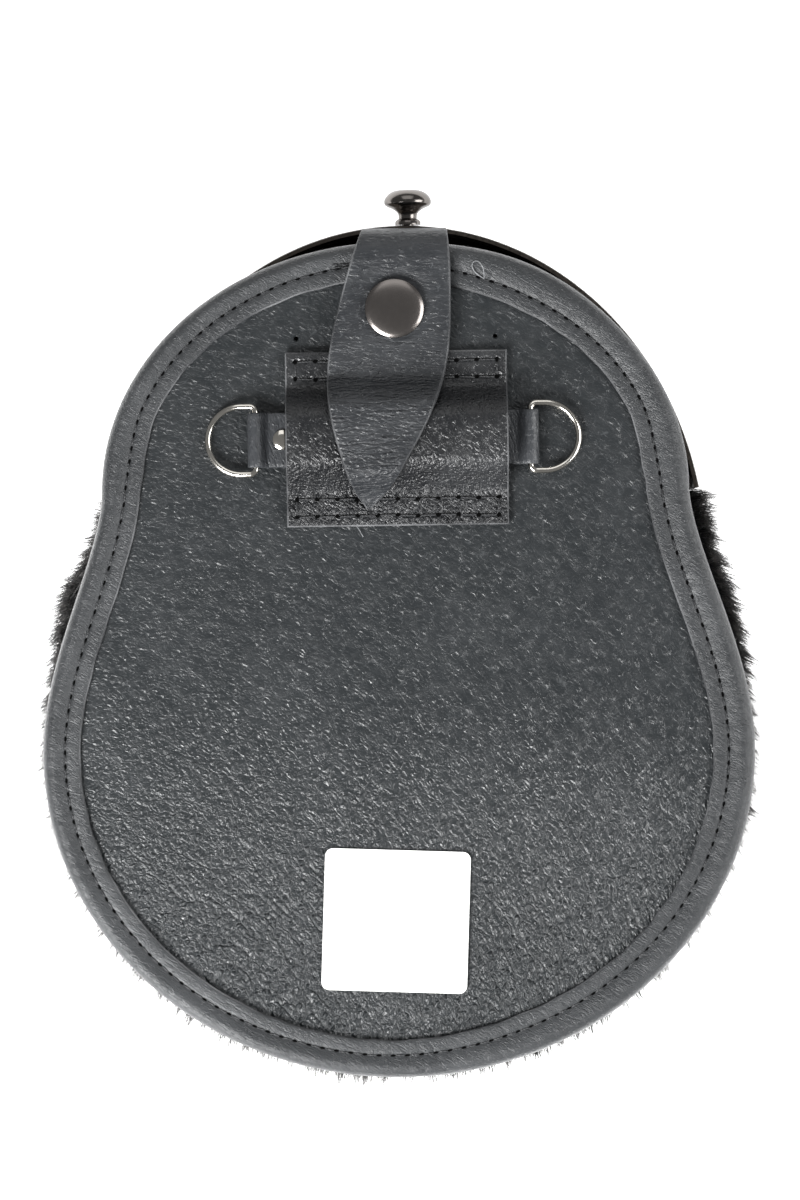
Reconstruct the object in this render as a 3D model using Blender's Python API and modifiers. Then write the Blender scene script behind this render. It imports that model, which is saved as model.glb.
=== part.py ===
"""Sporran pouch with a fur front and a metal cantle, lying on its front.

The floor is z = 0 under the fur, +Z points at the leather back panel, +Y at the
knob on top, and +X to the right as the back is seen. Units are metres.
"""

import math

import bmesh
import bpy
import numpy as np
from mathutils import Matrix, Vector

MM = 0.001
GAP = 0.3 * MM  # clearance that touching pieces keep

# Back panel: a pear outline of an arch, a waist and a lobe
ARCH_HALF_WIDTH = 74.7 * MM
ARCH_RISE = 63.2 * MM
WAIST_LENGTH = 66.5 * MM
WAIST_LEAN = 0.85  # under 1 lets the waist widen early
LOBE_HALF_WIDTH = 90.5 * MM
LOBE_DROP = 82.8 * MM
LOBE_Y = -29.5 * MM
LOBE_SHARE = 0.67  # share of the bottom outline that the lobe takes
PANEL_THICKNESS = 2.0 * MM
POUCH_DEPTH = 43.0 * MM  # floor to the outer face of the back panel

# Edge binding, sewn round the back panel
BINDING_WIDTH = 9.8 * MM
BINDING_ROLL_DEPTH = 6.7 * MM
BINDING_ROLL_REACH = 4.2 * MM
BINDING_LEATHER = 1.0 * MM
BINDING_CROWN = 1.9 * MM  # above the panel

# Front form: the cantle's arch above, the pelt's egg shape below
CANTLE_EXTRA_HALF_WIDTH = 2.1 * MM
CANTLE_ARCH_RISE = 85.4 * MM
CANTLE_OVERHANG = 4.9 * MM  # how far the cantle rises above the binding
CANTLE_SHIFT = 2.7 * MM  # the cantle sits a little to the right
CANTLE_DEPTH = 32.0 * MM  # floor to the edge of the cantle's rim
CANTLE_METAL = 1.5 * MM
CANTLE_SAG = 14.0 * MM  # dip of the cantle's lower edge at its middle
CANTLE_END_INSET = 7.0 * MM
CANTLE_PLATE_SHARE = 0.8  # share of its rows before the rim turns up
FRONT_DEPTH = 24.0 * MM  # floor to the pelt's rim
FRONT_INSET = 1.0 * MM
FRONT_SHOULDER_RISE = 125.0 * MM
FRONT_BLEND = 27.0 * MM  # length over which the cantle's outline turns into the pelt's
DOME_POWER = 2.4
DOME_FULLNESS = 0.55

# Fur pelt
PELT_THICKNESS = 3.0 * MM
PELT_TOP_DROP = 1.0 * MM  # below the ends of the cantle
PELT_CORNER_INSET = 6.5 * MM
PELT_SLACK = 0.6 * MM  # under the cantle, where both surfaces curve
PELT_EDGE_STEP = 0.25 * MM  # least fall from one row to the next at its edges
LOCK_HEIGHT = 2.6 * MM
LOCK_OVERHANG = 1.6 * MM
LOCKS_ACROSS = 27
LOCK_ROWS = 15

# Gusset between the back and the pelt
GUSSET_LEATHER = 1.4 * MM
GUSSET_FLANGE = 5.0 * MM
GUSSET_FOLD = 6.5 * MM

# Knob on the cantle
KNOB_CAP_RADIUS = 6.1 * MM
KNOB_HEIGHT = 9.0 * MM
KNOB_NECK_RADIUS = 2.35 * MM
KNOB_BASE_RADIUS = 3.3 * MM
KNOB_X = 4.2 * MM
KNOB_BELOW_RIM = 4.1 * MM
KNOB_POST_RADIUS = 1.5 * MM
KNOB_WASHER_RADIUS = 3.4 * MM
KNOB_WASHER_THICKNESS = 1.0 * MM

# Closing strap
STRAP_LEATHER = 2.0 * MM
STRAP_HALF_WIDTH = 15.1 * MM
STRAP_LENGTH = 71.2 * MM  # from the fold to the tip, seen from above
STRAP_X = 3.3 * MM
STRAP_BELOW_CANTLE = 1.5 * MM  # from the cantle's top to the outside of the strap's fold
STRAP_LEAN = 10.1 * MM  # sideways shift of the tip
STRAP_INNER_LENGTH = 8.2 * MM  # from the rim's edge down its inner face
STRAP_ROWS = 22
STRAP_FOLD_RADIUS = 5.5 * MM
STRAP_FOLD_LIFT = 0.8 * MM  # extra height at the fold
STRAP_SETTLE_LENGTH = 8.0 * MM  # over which that height is lost
STRAP_SLACK = 2.5 * MM  # kept to the belt loop's slopes

# Press stud
SNAP_RADIUS = 7.5 * MM
SNAP_DOME = 1.8 * MM
SNAP_X = 0.4 * MM
SNAP_BELOW_TOP = 17.3 * MM  # from the top of the back panel
SNAP_POST_RADIUS = 1.6 * MM
SNAP_SOCKET_RADIUS = 5.5 * MM
SNAP_SOCKET_THICKNESS = 0.8 * MM
SNAP_STUD_THICKNESS = 0.7 * MM

# Belt loop
LOOP_WIDTH = 56.4 * MM
LOOP_HEIGHT = 44.4 * MM
LOOP_SPAN = 28.0 * MM  # free stretch between its two sewn bands
LOOP_FLAT = 5.0 * MM  # half-length of the flat crown
LOOP_RISE = 8.0 * MM  # under the crown, above the panel
LOOP_LEATHER = 1.8 * MM
LOOP_X = 0.6 * MM
LOOP_BELOW_TOP = 50.1 * MM
LOOP_ROWS = 22
LOOP_EASED_EDGE = 0.25 * MM

# D-rings, their tabs and rivets
RING_WIRE_RADIUS = 0.8 * MM
RING_HEIGHT = 18.8 * MM
RING_LENGTH = 13.1 * MM  # from the axis of its bar to its far edge
RING_CORNER = 1.6 * MM
TAB_LEATHER = 1.0 * MM
TAB_HEIGHT = 14.0 * MM
TAB_REACH = {"left": 9.7 * MM, "right": 7.8 * MM}
TAB_UNDER_LOOP = 12.0 * MM
TAB_PINCH = 3.4 * MM
RIVET_FROM_TAB_END = {"left": 8.9 * MM, "right": 11.5 * MM}
RIVET_HEAD_RADIUS = 2.5 * MM
RIVET_HEAD_HEIGHT = 0.7 * MM
RIVET_POST_RADIUS = 0.9 * MM

# Blank sticker and awl holes
LABEL_SIZE = (37.0 * MM, 36.0 * MM)
LABEL_THICKNESS = 0.3 * MM
LABEL_CORNER = 2.0 * MM
LABEL_X = -1.4 * MM
LABEL_ABOVE_BOTTOM = 39.9 * MM
LABEL_TURN = math.radians(-2.5)
AWL_HOLE_RADIUS = 0.55 * MM
AWL_HOLES_X = (-24.7 * MM, 25.9 * MM)
AWL_HOLES_BELOW_TOP = 24.3 * MM

# Bare field of the panel between the belt loop and the label
FIELD_HALF_WIDTH = 55.0 * MM
FIELD_BELOW_LOOP = 4.0 * MM
FIELD_ABOVE_LABEL = 4.0 * MM
FIELD_RISE = 0.1 * MM  # above the leather that is pressed under the loop, the label and the binding

# Levels and places that follow from the sizes
PANEL_TOP = POUCH_DEPTH
PANEL_UNDER = POUCH_DEPTH - PANEL_THICKNESS
ARCH_Y = LOBE_Y + WAIST_LENGTH
TOP_Y = ARCH_Y + ARCH_RISE
BOTTOM_Y = LOBE_Y - LOBE_DROP
CANTLE_HALF_WIDTH = ARCH_HALF_WIDTH + CANTLE_EXTRA_HALF_WIDTH
CANTLE_TOP_Y = TOP_Y + CANTLE_OVERHANG
CANTLE_ARCH_Y = CANTLE_TOP_Y - CANTLE_ARCH_RISE
CANTLE_END_Y = ARCH_Y
FRONT_HALF_WIDTH = LOBE_HALF_WIDTH - FRONT_INSET
FRONT_DROP = LOBE_DROP + GAP
PELT_SETBACK = CANTLE_METAL + GAP + PELT_SLACK
PELT_TOP_Y = CANTLE_END_Y - PELT_TOP_DROP
KNOB_Z = CANTLE_DEPTH - KNOB_BELOW_RIM
STRAP_TOP_Y = CANTLE_TOP_Y - STRAP_BELOW_CANTLE
STRAP_LIFT = GAP + SNAP_STUD_THICKNESS + GAP + SNAP_SOCKET_THICKNESS + GAP
LOOP_Y = TOP_Y - LOOP_BELOW_TOP
FIELD_TOP_Y = LOOP_Y - LOOP_HEIGHT / 2.0 - FIELD_BELOW_LOOP
FIELD_BOTTOM_Y = BOTTOM_Y + LABEL_ABOVE_BOTTOM + LABEL_SIZE[1] / 2.0 + FIELD_ABOVE_LABEL
TAB_TOP = PANEL_TOP + GAP + TAB_LEATHER + GAP + TAB_LEATHER
BAR_Z = PANEL_TOP + GAP + TAB_LEATHER + GAP + RING_WIRE_RADIUS

OBJECT_NAME = "sporran_pouch"


def mix(a, b, share):
    """Value between a and b."""
    return a + (b - a) * share


def ease(share):
    """Smooth step from 0 to 1."""
    share = min(1.0, max(0.0, share))
    return share * share * (3.0 - 2.0 * share)


def circle_share(share):
    """Half-width of a unit circle at this share of its radius."""
    return math.sqrt(max(0.0, 1.0 - share * share))


def table_value(table, share):
    """Smooth value from rows of (share, value) with the ends held."""
    shares = [row[0] for row in table]
    values = [row[1] for row in table]
    slopes = np.gradient(values, shares)
    i = min(len(shares) - 2, max(0, int(np.searchsorted(shares, share)) - 1))
    step = shares[i + 1] - shares[i]
    t = min(1.0, max(0.0, (share - shares[i]) / step))
    rise = values[i + 1] - values[i]
    start, end = slopes[i] * step, slopes[i + 1] * step
    curve = (start + end - 2.0 * rise) * t**3 + (3.0 * rise - 2.0 * start - end) * t * t
    return values[i] + start * t + curve


# Outlines and forms


def back_half_width(y):
    """Half-width of the back's outline at this height."""
    if y >= ARCH_Y:
        return ARCH_HALF_WIDTH * circle_share((y - ARCH_Y) / ARCH_RISE)
    if y <= LOBE_Y:
        return LOBE_HALF_WIDTH * circle_share((LOBE_Y - y) / LOBE_DROP)
    down = ((ARCH_Y - y) / WAIST_LENGTH) ** WAIST_LEAN
    return mix(ARCH_HALF_WIDTH, LOBE_HALF_WIDTH, ease(down))


def back_outline(arch_steps=22, waist_steps=6, lobe_steps=26):
    """Points of the back's outline, anticlockwise from the right end of the arch."""
    points = []
    for i in range(arch_steps):
        turn = math.pi * i / arch_steps
        points.append((ARCH_HALF_WIDTH * math.cos(turn), ARCH_Y + ARCH_RISE * math.sin(turn)))
    for i in range(waist_steps):
        y = mix(ARCH_Y, LOBE_Y, i / waist_steps)
        points.append((-back_half_width(y), y))
    for i in range(lobe_steps):
        turn = math.pi * (1.0 + i / lobe_steps)
        points.append((LOBE_HALF_WIDTH * math.cos(turn), LOBE_Y + LOBE_DROP * math.sin(turn)))
    for i in range(waist_steps):
        y = mix(LOBE_Y, ARCH_Y, i / waist_steps)
        points.append((back_half_width(y), y))
    return points


def inset(points, distance):
    """The same closed anticlockwise outline, moved inwards."""
    moved = []
    count = len(points)
    for i, (x, y) in enumerate(points):
        before, after = points[i - 1], points[(i + 1) % count]
        along = Vector((after[0] - before[0], after[1] - before[1])).normalized()
        moved.append((x - along.y * distance, y + along.x * distance))
    return moved


def front_blend(y):
    """0 at the cantle and 1 where the pelt has its own outline."""
    return ease((CANTLE_END_Y - y) / FRONT_BLEND)


def front_half_width(y):
    """Half-width of the front's outline: the cantle's above, the pelt's below."""
    cantle = CANTLE_HALF_WIDTH * circle_share(max(0.0, y - CANTLE_ARCH_Y) / CANTLE_ARCH_RISE)
    reach = FRONT_SHOULDER_RISE if y > LOBE_Y else FRONT_DROP
    pelt = FRONT_HALF_WIDTH * circle_share(abs(y - LOBE_Y) / reach)
    return mix(cantle, pelt, front_blend(y))


def front_shift(y):
    """Sideways place of the front's middle line."""
    return mix(CANTLE_SHIFT, 0.0, front_blend(y))


def front_depth(x, y):
    """Height of the front's outer surface above the floor: a dome that lies on its crown."""
    rise = max(0.0, y - CANTLE_ARCH_Y) / CANTLE_ARCH_RISE
    drop = max(0.0, LOBE_Y - y) / FRONT_DROP
    half_width = max(front_half_width(y), MM)
    across = (x - front_shift(y)) / half_width
    inside = max(0.0, 1.0 - across**2) * max(0.0, 1.0 - rise**2) * max(0.0, 1.0 - drop**2)
    crown = 1.0 - (1.0 - inside) ** (DOME_POWER / 2.0)
    return FRONT_DEPTH * (1.0 - crown**DOME_FULLNESS)


# Blender helpers


def clear_scene():
    """Remove everything that the file opened with."""
    for thing in list(bpy.data.objects):
        bpy.data.objects.remove(thing, do_unlink=True)


def new_collection(name):
    """A collection linked to the scene."""
    made = bpy.data.collections.new(name)
    bpy.context.scene.collection.children.link(made)
    return made


def finish(name, colour, roughness, metallic=0.0):
    """A Principled BSDF material."""
    made = bpy.data.materials.new(name)
    made.use_nodes = True
    shader = made.node_tree.nodes["Principled BSDF"]
    shader.inputs["Base Color"].default_value = (*colour, 1.0)
    shader.inputs["Roughness"].default_value = roughness
    shader.inputs["Metallic"].default_value = metallic
    return made


def add_part(name, data, material, shade_angle=40.0):
    """Link a mesh or a curve as a named object with its material."""
    made = bpy.data.objects.new(name, data)
    PARTS.objects.link(made)
    data.materials.append(material)
    if isinstance(data, bpy.types.Mesh):
        data.shade_smooth()
        data.set_sharp_from_angle(angle=math.radians(shade_angle))
    return made


def mesh_from(name, vertices, faces):
    """A mesh with its faces turned the same way."""
    mesh = bpy.data.meshes.new(name)
    mesh.from_pydata([tuple(v) for v in vertices], [], faces)
    work = bmesh.new()
    work.from_mesh(mesh)
    bmesh.ops.recalc_face_normals(work, faces=work.faces)
    work.to_mesh(mesh)
    work.free()
    return mesh


def grid_points(surface, columns, rows):
    """Rows of points of surface(across, along), with both shares from 0 to 1."""
    return [[surface(c / columns, r / rows) for c in range(columns + 1)] for r in range(rows + 1)]


def grid_faces(columns, rows, first=0, flip=False):
    """Quads of a grid whose points are numbered row by row."""
    faces = []
    for r in range(rows):
        for c in range(columns):
            corner = first + r * (columns + 1) + c
            quad = (corner, corner + 1, corner + columns + 2, corner + columns + 1)
            faces.append(quad[::-1] if flip else quad)
    return faces


def sheet(name, surface, columns, rows, thickness, material, offset=0.0):
    """A wall of even thickness from an open surface, by Solidify."""
    points = [point for row in grid_points(surface, columns, rows) for point in row]
    mesh = bpy.data.meshes.new(name)
    mesh.from_pydata([tuple(p) for p in points], [], grid_faces(columns, rows))
    made = add_part(name, mesh, material)
    wall = made.modifiers.new("wall", "SOLIDIFY")
    wall.thickness = thickness
    wall.offset = offset
    wall.use_even_offset = True
    return made


def double_wall(name, outer, inner, columns, rows, material):
    """A closed shell between two surfaces that share their grid."""
    outside = [p for row in grid_points(outer, columns, rows) for p in row]
    inside = [p for row in grid_points(inner, columns, rows) for p in row]
    count = len(outside)
    faces = grid_faces(columns, rows) + grid_faces(columns, rows, count, flip=True)
    width = columns + 1
    ring = [c for c in range(columns)]
    ring += [r * width + columns for r in range(rows)]
    ring += [rows * width + c for c in range(columns, 0, -1)]
    ring += [r * width for r in range(rows, 0, -1)]
    for here, there in zip(ring, ring[1:] + ring[:1]):
        faces.append((there, here, here + count, there + count))
    return add_part(name, mesh_from(name, outside + inside, faces), material, 60.0)


def turned(name, profile, steps, material):
    """A turned solid from (radius, height) rows, top to bottom, round its own Z."""
    mesh = bpy.data.meshes.new(name)
    rows = [(radius, 0.0, height) for radius, height in profile]
    mesh.from_pydata(rows, [(i, i + 1) for i in range(len(rows) - 1)], [])
    made = add_part(name, mesh, material)
    screw = made.modifiers.new("turn", "SCREW")
    screw.steps = steps
    screw.render_steps = steps
    screw.use_merge_vertices = True
    screw.merge_threshold = 0.00001
    screw.use_smooth_shade = True
    return made


def closed_curve(name, points, collection, fill="NONE"):
    """A flat cyclic poly curve."""
    data = bpy.data.curves.new(name, "CURVE")
    data.dimensions = "2D"
    data.fill_mode = fill
    spline = data.splines.new("POLY")
    spline.points.add(len(points) - 1)
    for point, place in zip(spline.points, points):
        point.co = (place[0], place[1], 0.0, 1.0)
    spline.use_cyclic_u = True
    made = bpy.data.objects.new(name, data)
    collection.objects.link(made)
    return made


def meshed(thing, material):
    """Turn a curve object into a mesh object whose caps are welded on."""
    graph = bpy.context.evaluated_depsgraph_get()
    mesh = bpy.data.meshes.new_from_object(thing.evaluated_get(graph))
    work = bmesh.new()
    work.from_mesh(mesh)
    bmesh.ops.remove_doubles(work, verts=work.verts, dist=0.000001)
    bmesh.ops.recalc_face_normals(work, faces=work.faces)
    work.to_mesh(mesh)
    work.free()
    mesh.materials.clear()
    name, place = thing.name, thing.matrix_world.copy()
    bpy.data.objects.remove(thing)
    made = add_part(name, mesh, material)
    made.name = name
    made.matrix_world = place
    return made


def plate(name, outline, bottom, top, material):
    """A flat plate from an outline, between two heights."""
    curve = closed_curve(name, outline, GUIDES, fill="BOTH")
    curve.data.extrude = (top - bottom) / 2.0
    curve.location.z = (top + bottom) / 2.0
    bpy.context.view_layer.update()
    return meshed(curve, material)


def drill(target, place, radius, length, axis="Z", sides=12):
    """Cut a round hole through a part."""
    bpy.ops.mesh.primitive_cylinder_add(vertices=sides, radius=radius, depth=length, location=place)
    cutter = bpy.context.active_object
    cutter.name = f"{target.name}_drill"
    if axis == "Y":
        cutter.rotation_euler.x = math.radians(90.0)
    for holder in list(cutter.users_collection):
        holder.objects.unlink(cutter)
    GUIDES.objects.link(cutter)
    cutter.hide_render = True
    cutter.display_type = "WIRE"
    cut = target.modifiers.new("drill", "BOOLEAN")
    cut.operation = "DIFFERENCE"
    cut.solver = "EXACT"
    cut.object = cutter


# Back: panel, binding and gusset


def build_back_panel(material):
    """Leather back, whose edge sits in the binding's slot and whose bare field is one flat face."""
    outline = inset(back_outline(), BINDING_ROLL_REACH + GAP)
    count = len(outline)
    middle_y = (FIELD_TOP_Y + FIELD_BOTTOM_Y) / 2.0
    half_height = (FIELD_TOP_Y - FIELD_BOTTOM_Y) / 2.0
    corners = [2 * count + 2 * int(y > middle_y) + int(x > 0.0) for x, y in outline]
    pressed = PANEL_TOP - FIELD_RISE
    vertices = [(x, y, pressed) for x, y in outline]
    vertices += [(x, y, PANEL_UNDER) for x, y in outline]
    for grow, z in ((FIELD_RISE, pressed), (0.0, PANEL_TOP)):
        for up in (-1.0, 1.0):
            y = middle_y + up * (half_height + grow)
            vertices += [(side * (FIELD_HALF_WIDTH + grow), y, z) for side in (-1.0, 1.0)]
    faces = [tuple(range(2 * count - 1, count - 1, -1))]
    base, crown = 2 * count, 2 * count + 4
    faces.append(tuple(crown + i for i in (0, 1, 3, 2)))
    faces += [(base + i, base + n, crown + n, crown + i) for i, n in ((0, 1), (1, 3), (3, 2), (2, 0))]
    for i in range(count):
        n = (i + 1) % count
        faces.append((i, i + count, n + count, n))
        faces.append(tuple(dict.fromkeys((i, n, corners[n], corners[i]))))
    panel = add_part("back_panel", mesh_from("back_panel", vertices, faces), material)
    reach = 4.0 * PANEL_THICKNESS
    for x in AWL_HOLES_X:
        drill(panel, (x, TOP_Y - AWL_HOLES_BELOW_TOP, PANEL_TOP), AWL_HOLE_RADIUS, reach, sides=8)
    for side in ("left", "right"):
        place = (rivet_x(side), LOOP_Y, PANEL_TOP)
        drill(panel, place, RIVET_POST_RADIUS + GAP, reach, sides=8)
    return panel


# (share of the width inwards, height above the panel in leather thicknesses)
BINDING_TOP = ((1.0, 1.3), (0.70, 1.55), (0.59, 1.25), (0.47, 1.7), (0.26, 1.9), (0.08, 1.0))
# (share of the width inwards, share of the roll's depth below its crown)
BINDING_SIDE = ((0.0, 0.46), (0.05, 0.79), (0.25, 1.0), (0.52, 0.99), (0.92, 0.86))


def build_edge_binding(material):
    """Leather channel round the panel's edge, with a soft roll outside and a stitch groove."""
    crown = BINDING_CROWN
    section = [(BINDING_WIDTH, GAP)]
    section += [(share * BINDING_WIDTH, up * BINDING_LEATHER) for share, up in BINDING_TOP]
    section += [(share * BINDING_WIDTH, crown - down * BINDING_ROLL_DEPTH) for share, down in BINDING_SIDE]
    section.append((BINDING_SIDE[-1][0] * BINDING_WIDTH, -PANEL_THICKNESS - GAP))
    section.append((BINDING_ROLL_REACH, -PANEL_THICKNESS - GAP))
    section.append((BINDING_ROLL_REACH, GAP))
    outline = back_outline()
    rings = [inset(outline, inwards) for inwards, _ in section]
    count = len(outline)
    vertices = []
    for ring, (_, up) in zip(rings, section):
        vertices += [(x, y, PANEL_TOP + up) for x, y in ring]
    faces = []
    for j in range(len(section)):
        k = (j + 1) % len(section)
        for i in range(count):
            n = (i + 1) % count
            faces.append((j * count + i, j * count + n, k * count + n, k * count + i))
    return add_part("edge_binding", mesh_from("edge_binding", vertices, faces), material, 60.0)


def round_bottom(share, half_width, drop, top_y):
    """Point of an outline from its left end (0), round the bottom, to its right end (1)."""
    side = 1.0 if share > 0.5 else -1.0
    up = abs(share - 0.5) * 2.0
    if up < LOBE_SHARE:
        turn = up / LOBE_SHARE * math.pi / 2.0
        return side * half_width(LOBE_Y) * math.sin(turn), LOBE_Y - drop * math.cos(turn)
    y = mix(LOBE_Y, top_y, (up - LOBE_SHARE) / (1.0 - LOBE_SHARE))
    return side * half_width(y), y


def inward(share, outline, distance):
    """Point of a bottom outline, moved inwards."""
    step = 0.002
    low, high = max(0.0, share - step), min(1.0, share + step)
    (x0, y0), (x1, y1) = outline(low), outline(high)
    along = Vector((x1 - x0, y1 - y0)).normalized()
    x, y = outline(share)
    return Vector((x - along.y * distance, y + along.x * distance))


def back_rail(share):
    """Back outline below the mouth."""
    return round_bottom(share, back_half_width, LOBE_DROP, PELT_TOP_Y)


def front_rail(share):
    """Pelt outline below the mouth."""
    x, y = round_bottom(share, front_half_width, FRONT_DROP, PELT_TOP_Y)
    return x + front_shift(y), y


def build_gusset(material):
    """Leather band sewn under the binding and to the pelt's rim, folded inwards between them."""
    half = GUSSET_LEATHER / 2.0
    top = PANEL_TOP + BINDING_CROWN - BINDING_ROLL_DEPTH - GAP - half
    bottom = FRONT_DEPTH + GAP + half
    rim = PELT_SETBACK + PELT_THICKNESS / 2.0

    def surface(across, along):
        back_edge = BINDING_ROLL_REACH + GAP
        back = [inward(across, back_rail, back_edge + d) for d in (0.0, GUSSET_FLANGE)]
        front = [inward(across, front_rail, rim + d) for d in (0.0, GUSSET_FLANGE)]
        fold = (back[1] + front[1]) / 2.0
        fold = fold + (inward(across, back_rail, GUSSET_FOLD) - inward(across, back_rail, 0.0))
        rows = [(place, top) for place in back]
        rows.append((fold, (top + bottom) / 2.0))
        rows += [(place, bottom) for place in reversed(front)]
        place, z = rows[round(along * (len(rows) - 1))]
        return place.x, place.y, z

    return sheet("gusset", surface, 42, 4, GUSSET_LEATHER, material)


# Front: pelt and cantle


def lower_edge_y(across):
    """Height of the cantle's lower edge, for a share from -1 to 1."""
    return CANTLE_END_Y - CANTLE_SAG * (1.0 - across * across)


def pelt_point(across, along):
    """Point of the front form on the fan of fur from the cantle (0) to the rim (1)."""
    share = 2.0 * across - 1.0
    rim = front_rail(across)
    start_x = front_shift(PELT_TOP_Y) + (front_half_width(PELT_TOP_Y) - PELT_CORNER_INSET) * share
    reach = math.sin(along * math.pi / 2.0)
    x = mix(start_x, rim[0], reach)
    y = mix(PELT_TOP_Y, rim[1], reach)
    z = FRONT_DEPTH if along >= 1.0 else front_depth(x, y)
    return Vector((x, y, z))


def surface_normal(surface, across, along):
    """Outward normal of the front form."""
    step = 0.004
    a0, a1 = max(0.0, across - step), min(1.0, across + step)
    b0, b1 = max(0.0, along - step), min(1.0, along + step)
    one = surface(a1, along) - surface(a0, along)
    two = surface(across, b1) - surface(across, b0)
    normal = one.cross(two).normalized()
    outwards_here = surface(across, along) - Vector((0.0, 0.0, FRONT_DEPTH + GAP))
    return -normal if normal.dot(outwards_here) < 0.0 else normal


def lock_shape(across, along):
    """Height and forward lean of the fur lock here: its tips stand in alternate rows."""
    column = round(across * 2 * LOCKS_ACROSS)
    row = round(along * LOCK_ROWS)
    if row <= 1:
        return 0.0, 0.0
    if column % 2 == 0:
        return 0.15, 0.0
    tip = (row + column // 2) % 2 == 0 or row == LOCK_ROWS
    return (1.0, 1.0) if tip else (0.35, 0.0)


def kept_in(place, across, along):
    """The place, held under the pelt's top edge and rim, and a little off them further in."""
    row = along * LOCK_ROWS
    from_top = min(row, 2 * LOCKS_ACROSS * min(across, 1.0 - across))
    y = min(place.y, PELT_TOP_Y - from_top * PELT_EDGE_STEP)
    z = min(place.z, FRONT_DEPTH - (LOCK_ROWS - row) * PELT_EDGE_STEP)
    return Vector((place.x, y, max(0.0, z)))


def pelt_outer(across, along):
    """Outer surface of the pelt, with its locks of fur pressed flat on the floor."""
    height, lean = lock_shape(across, along)
    here = pelt_point(across, along)
    normal = surface_normal(pelt_point, across, along)
    flow = pelt_point(across, min(1.0, along + 0.01)) - pelt_point(across, max(0.0, along - 0.01))
    if along >= 1.0:
        flow = Vector((normal.x, normal.y, 0.0))
    edge_share = min(1.0, abs(here.x - CANTLE_SHIFT) / (CANTLE_HALF_WIDTH - CANTLE_END_INSET))
    free = ease((lower_edge_y(edge_share) - here.y) / LOCK_HEIGHT - 0.5)
    here = here - normal * (PELT_SETBACK - free * height * LOCK_HEIGHT)
    here = here + flow.normalized() * free * lean * LOCK_OVERHANG
    return kept_in(here, across, along)


def pelt_inner(across, along):
    """Inner surface of the pelt."""
    here = pelt_point(across, along)
    normal = surface_normal(pelt_point, across, along)
    return kept_in(here - normal * (PELT_SETBACK + PELT_THICKNESS), across, along)


def build_fur_front(material):
    """Domed pelt with its fur in locks that fan out from the cantle."""
    return double_wall("fur_front", pelt_outer, pelt_inner, 2 * LOCKS_ACROSS, LOCK_ROWS, material)


def cantle_point(across, along):
    """Point of the cantle's outer face, from its lower edge (0) to the rim's edge (1)."""
    share = 2.0 * across - 1.0
    corner = math.asin((CANTLE_END_Y - CANTLE_ARCH_Y) / CANTLE_ARCH_RISE)
    turn = math.pi / 2.0 - share * (math.pi / 2.0 - corner)
    rim_x = CANTLE_SHIFT + CANTLE_HALF_WIDTH * math.cos(turn)
    rim_y = CANTLE_ARCH_Y + CANTLE_ARCH_RISE * math.sin(turn)
    if along >= CANTLE_PLATE_SHARE:
        up = (along - CANTLE_PLATE_SHARE) / (1.0 - CANTLE_PLATE_SHARE)
        return Vector((rim_x, rim_y, mix(FRONT_DEPTH, CANTLE_DEPTH, up)))
    corner_x = CANTLE_HALF_WIDTH * math.cos(corner) - CANTLE_END_INSET
    reach = math.sin(along / CANTLE_PLATE_SHARE * math.pi / 2.0)
    x = mix(CANTLE_SHIFT + corner_x * share, rim_x, reach)
    y = mix(lower_edge_y(share), rim_y, reach)
    return Vector((x, y, front_depth(x, y)))


def build_cantle(material):
    """Metal arch over the top of the front, with a rim turned up towards the back."""
    cantle = sheet("cantle", cantle_point, 32, 10, CANTLE_METAL, material, offset=1.0)
    place = (KNOB_X, CANTLE_TOP_Y, KNOB_Z)
    drill(cantle, place, KNOB_POST_RADIUS + GAP, 8.0 * CANTLE_METAL, axis="Y")
    return cantle


# Share of the knob's height below its top, share between neck and cap radius
KNOB_PROFILE = (
    (0.0, 0.0),
    (0.03, 0.35),
    (0.12, 0.72),
    (0.24, 0.94),
    (0.34, 1.0),
    (0.43, 0.93),
    (0.48, 0.78),
    (0.56, 0.35),
    (0.68, 0.03),
)


def build_knob(material):
    """Mushroom knob on the rim's top, with its post through the rim and the strap's end."""
    seat = GAP
    top = seat + KNOB_HEIGHT
    inner = strap_inner_face() - GAP - CANTLE_TOP_Y
    rows = []
    for down, out in KNOB_PROFILE:
        radius = mix(KNOB_NECK_RADIUS, KNOB_CAP_RADIUS, out) if down else 0.0
        rows.append((radius, top - down * KNOB_HEIGHT))
    rows.append((KNOB_NECK_RADIUS, top - 0.82 * KNOB_HEIGHT))
    rows.append((mix(KNOB_NECK_RADIUS, KNOB_BASE_RADIUS, 0.7), top - 0.86 * KNOB_HEIGHT))
    rows.append((KNOB_BASE_RADIUS, top - 0.94 * KNOB_HEIGHT))
    rows.append((KNOB_BASE_RADIUS, seat))
    rows.append((KNOB_POST_RADIUS, seat))
    rows.append((KNOB_POST_RADIUS, inner))
    rows.append((KNOB_WASHER_RADIUS, inner))
    rows.append((KNOB_WASHER_RADIUS, inner - KNOB_WASHER_THICKNESS))
    rows.append((0.0, inner - KNOB_WASHER_THICKNESS))
    knob = turned("cantle_knob", rows, 16, material)
    knob.location = (KNOB_X, CANTLE_TOP_Y, KNOB_Z)
    knob.rotation_euler.x = math.radians(-90.0)
    return knob


# Closing strap and its press stud

# (share of the length from the fold, share of the greatest half-width)
STRAP_WIDTHS = (
    (0.0, 0.71),
    (0.127, 0.84),
    (0.25, 0.925),
    (0.40, 1.0),
    (0.53, 0.985),
    (0.645, 0.88),
    (0.786, 0.64),
    (0.90, 0.385),
    (0.975, 0.14),
    (1.0, 0.04),
)


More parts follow.
